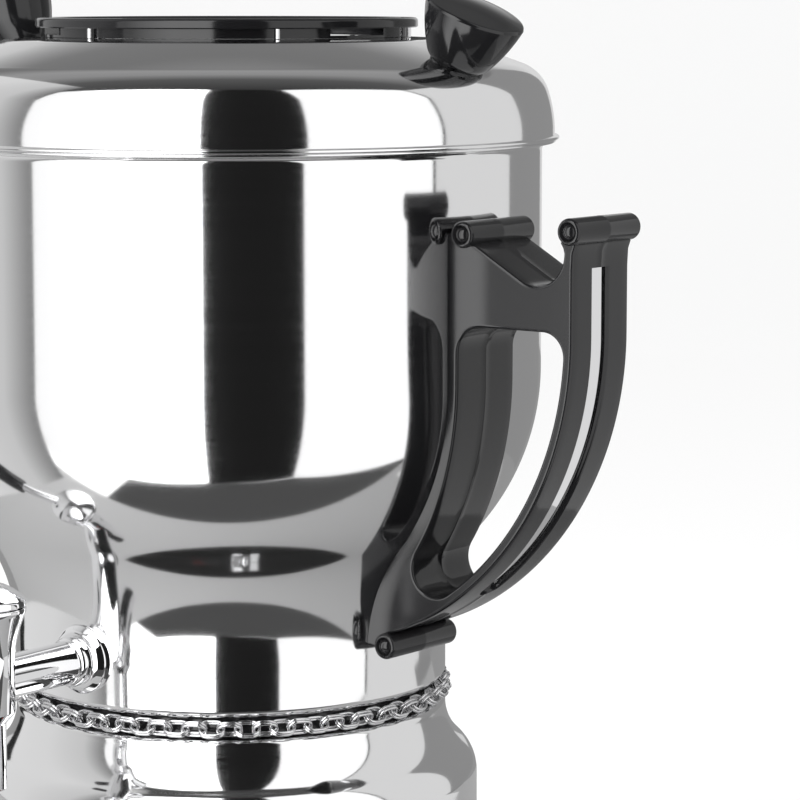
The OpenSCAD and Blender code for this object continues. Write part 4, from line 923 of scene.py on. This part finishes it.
def finger_loop():
    """The finger gap's outline, anticlockwise."""
    foot = meet(arm_centre, arm_bend - gap_foot_corner, limb_centre, limb_bend + gap_foot_corner)
    limb_side = bearing(limb_centre, foot)
    arm_side = bearing(arm_centre, foot)
    outer_z = bridge_z - gap_outer_corner
    outer_angle = math.degrees(math.asin((outer_z - arm_centre[1]) / (arm_bend - gap_outer_corner)))
    outer_corner = on_circle(arm_centre, arm_bend - gap_outer_corner, outer_angle)
    inner_corner = (limb_r + gap_inner_corner, bridge_z - gap_inner_corner)
    return (
        arc(limb_centre, limb_bend, 0, limb_side, 40)
        + arc(foot, gap_foot_corner, 180 + limb_side, 360 + arm_side, 24)[1:]
        + arc(arm_centre, arm_bend, arm_side, outer_angle, 48)[1:]
        + arc(outer_corner, gap_outer_corner, outer_angle, 90, 16)[1:]
        + arc(inner_corner, gap_inner_corner, 90, 180, 16)[:-1]
    )


print("handle outline:", len(outer_loop()[0]) + len(finger_loop()), "free points")

# %% Slices across a handle
edge_round, edge_steps = 1.1, 6
seam_w, seam_h, roll_seam_h = 0.3, 0.1, 0.06
inner_places = (12, 9, 6, 3, seam_w)


def slices():
    """Pairs of (place across the width, inset of the outline) from one flat side to the other."""
    flat = handle_w / 2 - edge_round
    turns = [math.radians(90 * i / edge_steps) for i in range(edge_steps + 1)]
    edge = [(flat + edge_round * math.cos(t), edge_round * (1 - math.sin(t))) for t in turns]
    right = edge + [(y, 0.0) for y in inner_places]
    return right + [(0.0, -seam_h)] + [(-y, inset) for y, inset in reversed(right)]


def inset_points(points, inset, closed):
    """Moves an outline's points to the left of its direction by a distance."""
    moved = []
    count = len(points)
    for i, here in enumerate(points):
        before = points[i - 1] if i or closed else here
        after = points[(i + 1) % count] if i + 1 < count or closed else here
        run = Vector((after[0] - before[0], after[1] - before[1]))
        left = Vector((-run.y, run.x)).normalized()
        moved.append((here[0] + left.x * inset, here[1] + left.y * inset))
    return moved


def join_loops(mesh, here, there):
    """Faces between two closed loops of equally many points."""
    count = len(here)
    for i in range(count):
        j = (i + 1) % count
        mesh.faces.new((here[i], here[j], there[j], there[i]))


def handle_body():
    """The handle's limb, bridge and arm as one closed mesh."""
    mesh = bmesh.new()
    free, heights = outer_loop()
    gap = finger_loop()
    rows = []
    for y, inset in slices():
        outline = inset_points(free, inset, False)
        seat = [(math.sqrt((vessel_r_at(z) + seat_gap) ** 2 - y * y), z) for z in heights]
        outer = [mesh.verts.new((x * mm, y * mm, z * mm)) for x, z in outline + seat]
        inner = [mesh.verts.new((x * mm, y * mm, z * mm)) for x, z in inset_points(gap, -inset, True)]
        rows.append((outer, inner))
    for here, there in zip(rows, rows[1:]):
        for loop_here, loop_there in zip(here, there):
            join_loops(mesh, loop_here, loop_there)
    for outer, inner in (rows[0], rows[-1]):
        rim = []
        for loop in (outer, inner):
            for i, vertex in enumerate(loop):
                rim.append(mesh.edges.get((vertex, loop[(i + 1) % len(loop)])))
        bmesh.ops.triangle_fill(mesh, use_beauty=True, edges=rim)
    bmesh.ops.recalc_face_normals(mesh, faces=mesh.faces)
    return mesh


def roll_mesh(place):
    """A roll across the handle, with a domed button in each end and the mould's seam round it."""
    half = roll_len / 2
    dome_r, dome_sunk, lip = 3.1, 2.45, 1.2
    button_gap = ((2.8, 0.95), (3.0, 0.45))
    end = arc((0, half - dome_sunk), dome_r, 90, 32, 10)
    end += [(radius, half - depth) for radius, depth in button_gap]
    end += arc((roll_r - lip, half - lip), lip, 88, 0, 8)
    seam = [(roll_r, seam_w), (roll_r + roll_seam_h, 0), (roll_r, -seam_w)]
    outline = end + seam + [(r, -h) for r, h in reversed(end)]
    mesh = lathe(outline, 48)
    mesh.transform(turn_to((0, 1, 0), (place[0], 0, place[1])))
    return mesh


print("slices across a handle:", len(slices()))

# %% Groove and inlay along the arm
inlay_w, inlay_t, groove_depth, groove_top_z, groove_end = 9.4, 0.8, 2.2, 262.3, -52
groove_lip, cutter_over, inlay_gap = 0.3, 1.5, 0.05
inlay_edge, inlay_edge_drop, inlay_crown = 0.25, 0.08, 0.02
straight_steps, tip_steps, tip_share, tip_merge = 8, 8, 0.999, 1e-6


def arm_face(depth):
    """Points down the arm's outer face and round its lower end at a depth, with shares of the width."""
    line = []
    for i in range(straight_steps):
        height = groove_top_z - (groove_top_z - arm_centre[1]) * i / straight_steps
        line.append(((arm_out_r - depth, height), 1.0))
    line += [(p, 1.0) for p in arc(arm_centre, arm_outer - depth, 0, groove_end, 48)]
    for i in range(1, tip_steps + 1):
        k = math.sin(math.radians(90 * i / tip_steps)) * tip_share
        angle = groove_end - math.degrees(k * inlay_w / 2 / arm_outer)
        line.append((on_circle(arm_centre, arm_outer - depth, angle), math.sqrt(1 - k * k)))
    return line


def arm_strip(section):
    """Sweeps a closed section of (place across, depth) down the arm's face."""
    mesh = bmesh.new()
    lines = [arm_face(depth) for across, depth in section]
    rows = []
    for i in range(len(lines[0])):
        row = []
        for (across, depth), line in zip(section, lines):
            (x, z), share = line[i]
            row.append(mesh.verts.new((x * mm, across * share * mm, z * mm)))
        rows.append(row)
    for here, there in zip(rows, rows[1:]):
        join_loops(mesh, here, there)
    mesh.faces.new(rows[0])
    mesh.faces.new(rows[-1])
    bmesh.ops.remove_doubles(mesh, verts=mesh.verts, dist=tip_merge)
    bmesh.ops.recalc_face_normals(mesh, faces=mesh.faces)
    return mesh


def groove_cutter():
    """What the groove takes out of the arm, with a small chamfer at its lip."""
    half, lip_half = inlay_w / 2, inlay_w / 2 + groove_lip
    right = [(half, groove_depth), (half, groove_lip)]
    right += [(lip_half, 0), (lip_half + cutter_over, -cutter_over)]
    return arm_strip(right + [(-a, d) for a, d in reversed(right)])


def inlay_mesh():
    """The bright strip, slightly crowned, that lies on the groove's floor."""
    half = inlay_w / 2 - seat_gap
    floor, top = groove_depth - inlay_gap, groove_depth - inlay_t
    right = [(half, floor), (half, top + inlay_edge), (half - inlay_edge, top + inlay_edge_drop)]
    right += [(half * 0.5, top + inlay_crown), (0, top)]
    return arm_strip(right + [(-a, d) for a, d in reversed(right[:-1])])


print("points along the arm:", len(arm_face(0)))

# %% Booleans
def carved(mesh, steps):
    """Applies booleans of (operation, bmesh) to a bmesh one after another and returns the result."""
    body = mesh_object("carved", mesh)
    tools = []
    for operation, tool_mesh in steps:
        tool = mesh_object("tool", tool_mesh)
        modifier = body.modifiers.new(operation.lower(), "BOOLEAN")
        modifier.operation = operation
        modifier.solver = "EXACT"
        modifier.object = tool
        tools.append(tool)
    result = evaluated_mesh(body)
    out = bmesh.new()
    out.from_mesh(result)
    for thing in tools + [body]:
        data = thing.data
        bpy.data.objects.remove(thing)
        bpy.data.meshes.remove(data)
    bpy.data.meshes.remove(result)
    return out


print("booleans ready")

# %% Handles on both sides
flat_enough = 0.9999


def keep_sides_flat(mesh):
    """Marks the rims of the flat sides sharp, so that the rounded edges do not bend their shading."""
    mesh.normal_update()
    for edge in mesh.edges:
        flat = [abs(face.normal.y) > flat_enough for face in edge.link_faces]
        if len(flat) == 2 and flat[0] != flat[1]:
            edge.smooth = False


for side, turn in sides:
    steps = [("DIFFERENCE", groove_cutter())]
    steps += [("UNION", roll_mesh(place)) for place in (inner_roll, outer_roll, foot_roll)]
    mesh = carved(handle_body(), steps)
    mesh.transform(Matrix.Rotation(turn, 4, "Z"))
    keep_sides_flat(mesh)
    piece("handle_moulding_" + side, mesh, black_gloss, "samovar", ["handle_" + side])
    strip = inlay_mesh()
    strip.transform(Matrix.Rotation(turn, 4, "Z"))
    piece("inlay_strip_" + side, strip, bright_chrome, "samovar", ["handle_inlay_" + side])

# %% [markdown]
# ## Tap
# The tap's pipe comes out of the neck through a rounded collar, and ends in an upright barrel with a
# flared top. A domed hub with a lever turns the plug inside. All of these are turned pieces, and the
# pipe and barrel are joined by a boolean, because on the real tap they are one casting.

# %% Tap collar
tap_z, tap_at, pipe_r, water_r, collar_r, collar_t = 126.2, 122, 7.25, 4, 11.8, 4
tail_step = 0.6
tail_r = pipe_r - tail_step
collar_face = neck_r + collar_t


def along_tap(mesh):
    """Lays a piece turned round Z along the tap's pipe, which points to -Y."""
    mesh.transform(turn_to((0, -1, 0), (0, 0, tap_z)))
    return mesh


def collar_mesh():
    """The collar, with its back ring fitted to the neck."""
    round_side, side_down, round_face, face_in = 1.2, 3.0, 2.4, 3.4
    back_depth, back_margin = 4, 0.01
    back, bore = neck_r - back_depth, tail_r + hole_gap
    outline = [(bore, back), (collar_r, back)]
    outline += arc((collar_r - round_side, collar_face - side_down), round_side, 0, 45, 6)
    outline += arc((collar_r - face_in, collar_face - round_face), round_face, 40, 90, 8)
    outline += [(bore, collar_face)]
    mesh = along_tap(lathe(outline, 96))
    for vertex in mesh.verts:
        height = vertex.co.z / mm
        reach = vessel_r_at(height) if height > neck_top_z else neck_r
        if -vertex.co.y < (back + back_margin) * mm:
            vertex.co.y = -math.sqrt((reach + seat_gap) ** 2 - (vertex.co.x / mm) ** 2) * mm
    return mesh


piece("tap_collar", collar_mesh(), bright_chrome, "samovar", ["tap_escutcheon"])

# %% Tap body
boss_r, boss_len, barrel_r, barrel_top_r = 8.6, 4.5, 9.5, 13.5
barrel_rise, barrel_drop, spout_r, spout_len = 25, 12, 6.4, 24
barrel_foot_z, barrel_top_z = tap_z - barrel_drop, tap_z + barrel_rise
spout_foot_z = barrel_foot_z - spout_len
plug_floor, plug_rise = 3, 11
plug_foot_z, plug_top_z = barrel_foot_z + plug_floor, tap_z + plug_rise
plug_bore, gland_bore = 6.05, 7.3
tail_len, bore_len, cut_past, cut_over = 19, 25, 1, 5


def on_barrel(mesh, height=0):
    """Moves a piece turned round Z to the barrel's axis, at a height in millimetres."""
    mesh.transform(Matrix.Translation((0, -tap_at * mm, height * mm)))
    return mesh


def pipe_mesh():
    """The pipe with its boss, from the thread inside the vessel to the barrel."""
    joint_gap, round_boss, boss_fillet, fillet_out = 0.05, 2.4, 1.2, 1.0
    tail_end, boss_back, boss_end = neck_r - tail_len, collar_face + joint_gap, collar_face + boss_len
    outline = [(0, tail_end), (tail_r, tail_end), (tail_r, boss_back), (boss_r, boss_back)]
    outline += arc((boss_r - round_boss, boss_end - round_boss), round_boss, 0, 55, 8)
    outline += arc((pipe_r + boss_fillet, boss_end + fillet_out), boss_fillet, 230, 180, 6)
    outline += [(pipe_r, tap_at), (0, tap_at)]
    return along_tap(lathe(outline, 96))


def barrel_mesh():
    """The barrel with its flared top and the spout below it."""
    flare_from, flare_power, flare_steps = tap_z + pipe_r + 1, 1.6, 16
    lip, round_lip, round_spout = 1.4, 0.5, 1
    # The way from the spout to the barrel, as radii and heights over the barrel's foot.
    shoulder = ((spout_r, -2), (spout_r + 0.3, -1.4), (barrel_r - 0.4, 1.3), (barrel_r, 2.2))
    outline = [(0, spout_foot_z), (spout_r - round_spout, spout_foot_z)]
    outline += arc((spout_r - round_spout, spout_foot_z + round_spout), round_spout, -90, 0, 6)
    outline += [(radius, barrel_foot_z + height) for radius, height in shoulder]
    outline += [(barrel_r, flare_from)]
    for i in range(1, flare_steps + 1):
        k = i / flare_steps
        radius = barrel_r + (barrel_top_r - barrel_r) * k**flare_power
        outline.append((radius, flare_from + (barrel_top_z - lip - flare_from) * k))
    outline += arc((barrel_top_r - round_lip, barrel_top_z - round_lip), round_lip, 0, 90, 5)
    outline += [(0, barrel_top_z)]
    return on_barrel(lathe(outline, 96))


def rod(radius, low, high):
    """A round cutter on the Z axis."""
    return lathe([(0, low), (radius, low), (radius, high), (0, high)], 64)


tap_steps = [
    ("UNION", barrel_mesh()),
    ("DIFFERENCE", along_tap(rod(water_r, neck_r - bore_len, tap_at))),
    ("DIFFERENCE", on_barrel(rod(water_r, spout_foot_z - cut_past, plug_foot_z + cut_past))),
    ("DIFFERENCE", on_barrel(rod(plug_bore, plug_foot_z, barrel_top_z + cut_over))),
    ("DIFFERENCE", on_barrel(rod(gland_bore, plug_top_z, barrel_top_z + cut_over))),
]
piece("tap_casting", carved(pipe_mesh(), tap_steps), bright_chrome, "samovar", ["tap_body"])

# %% Lever and grip
hub_z, hub_h, lever_len, lever_rise = barrel_top_z + clear_gap, 8, 46, 20
grip_len, grip_r, arm_rod_r, stem_r = 22, 4.4, 2.6, 4
rod_start, rod_in_grip, push_gap, socket_share = 1, 6, 0.03, 0.6


def along_lever(mesh):
    """Lays a piece turned round Z along the lever, which points left and up when the tap is shut."""
    rise = math.radians(lever_rise)
    direction = Vector((-math.cos(rise), 0, math.sin(rise)))
    mesh.transform(turn_to(direction, (-stem_r - rod_start, -tap_at, hub_z + hub_h / 2)))
    return mesh


def hub_mesh():
    """The domed hub, with a rounded rim."""
    rim_h, rim_bevel, rim_round = 2, 0.4, 0.3
    rise = hub_h - rim_h
    dome = (barrel_top_r**2 + rise**2) / (2 * rise)
    edge = math.degrees(math.asin(barrel_top_r / dome))
    outline = [(0, 0), (barrel_top_r - rim_bevel, 0)]
    outline += [(barrel_top_r, rim_bevel), (barrel_top_r, rim_h - rim_round)]
    outline += arc((0, hub_h - dome), dome, 90 - edge + 1, 90, 24)
    return on_barrel(lathe(outline, 96), hub_z)


def rod_mesh():
    """The lever's rod."""
    length, bevel = lever_len - grip_len + rod_in_grip, 0.4
    end = [(arm_rod_r, length - bevel), (arm_rod_r - bevel, length), (0, length)]
    return along_lever(lathe([(0, 0), (arm_rod_r, 0)] + end, 48))


def grip_mesh():
    """The grip, which widens to a rounded end."""
    start, end, widen, round_end = lever_len - grip_len, lever_len, 0.8, 2
    bore, bore_end = arm_rod_r + push_gap, start + rod_in_grip + 0.05
    # The front edge, as steps in from the grip's side and along it.
    front_edge = ((0.8, 0), (0.2, 0.4), (0, 1))
    outline = [(bore, start)] + [(grip_r - back, start + along) for back, along in front_edge]
    outline += arc((grip_r + widen - round_end, end - round_end), round_end, 4, 88, 10)
    outline += [(0, end), (0, bore_end), (bore, bore_end)]
    return along_lever(lathe(outline, 64))


socket = on_barrel(rod(stem_r + push_gap, hub_z - cut_past, hub_z + hub_h * socket_share))
lever = carved(hub_mesh(), [("UNION", rod_mesh()), ("DIFFERENCE", socket)])
piece("tap_lever_turned", lever, bright_chrome, "tap_valve", ["tap_lever"])
piece("lever_grip_turned", grip_mesh(), black_gloss, "tap_valve", ["lever_grip"])
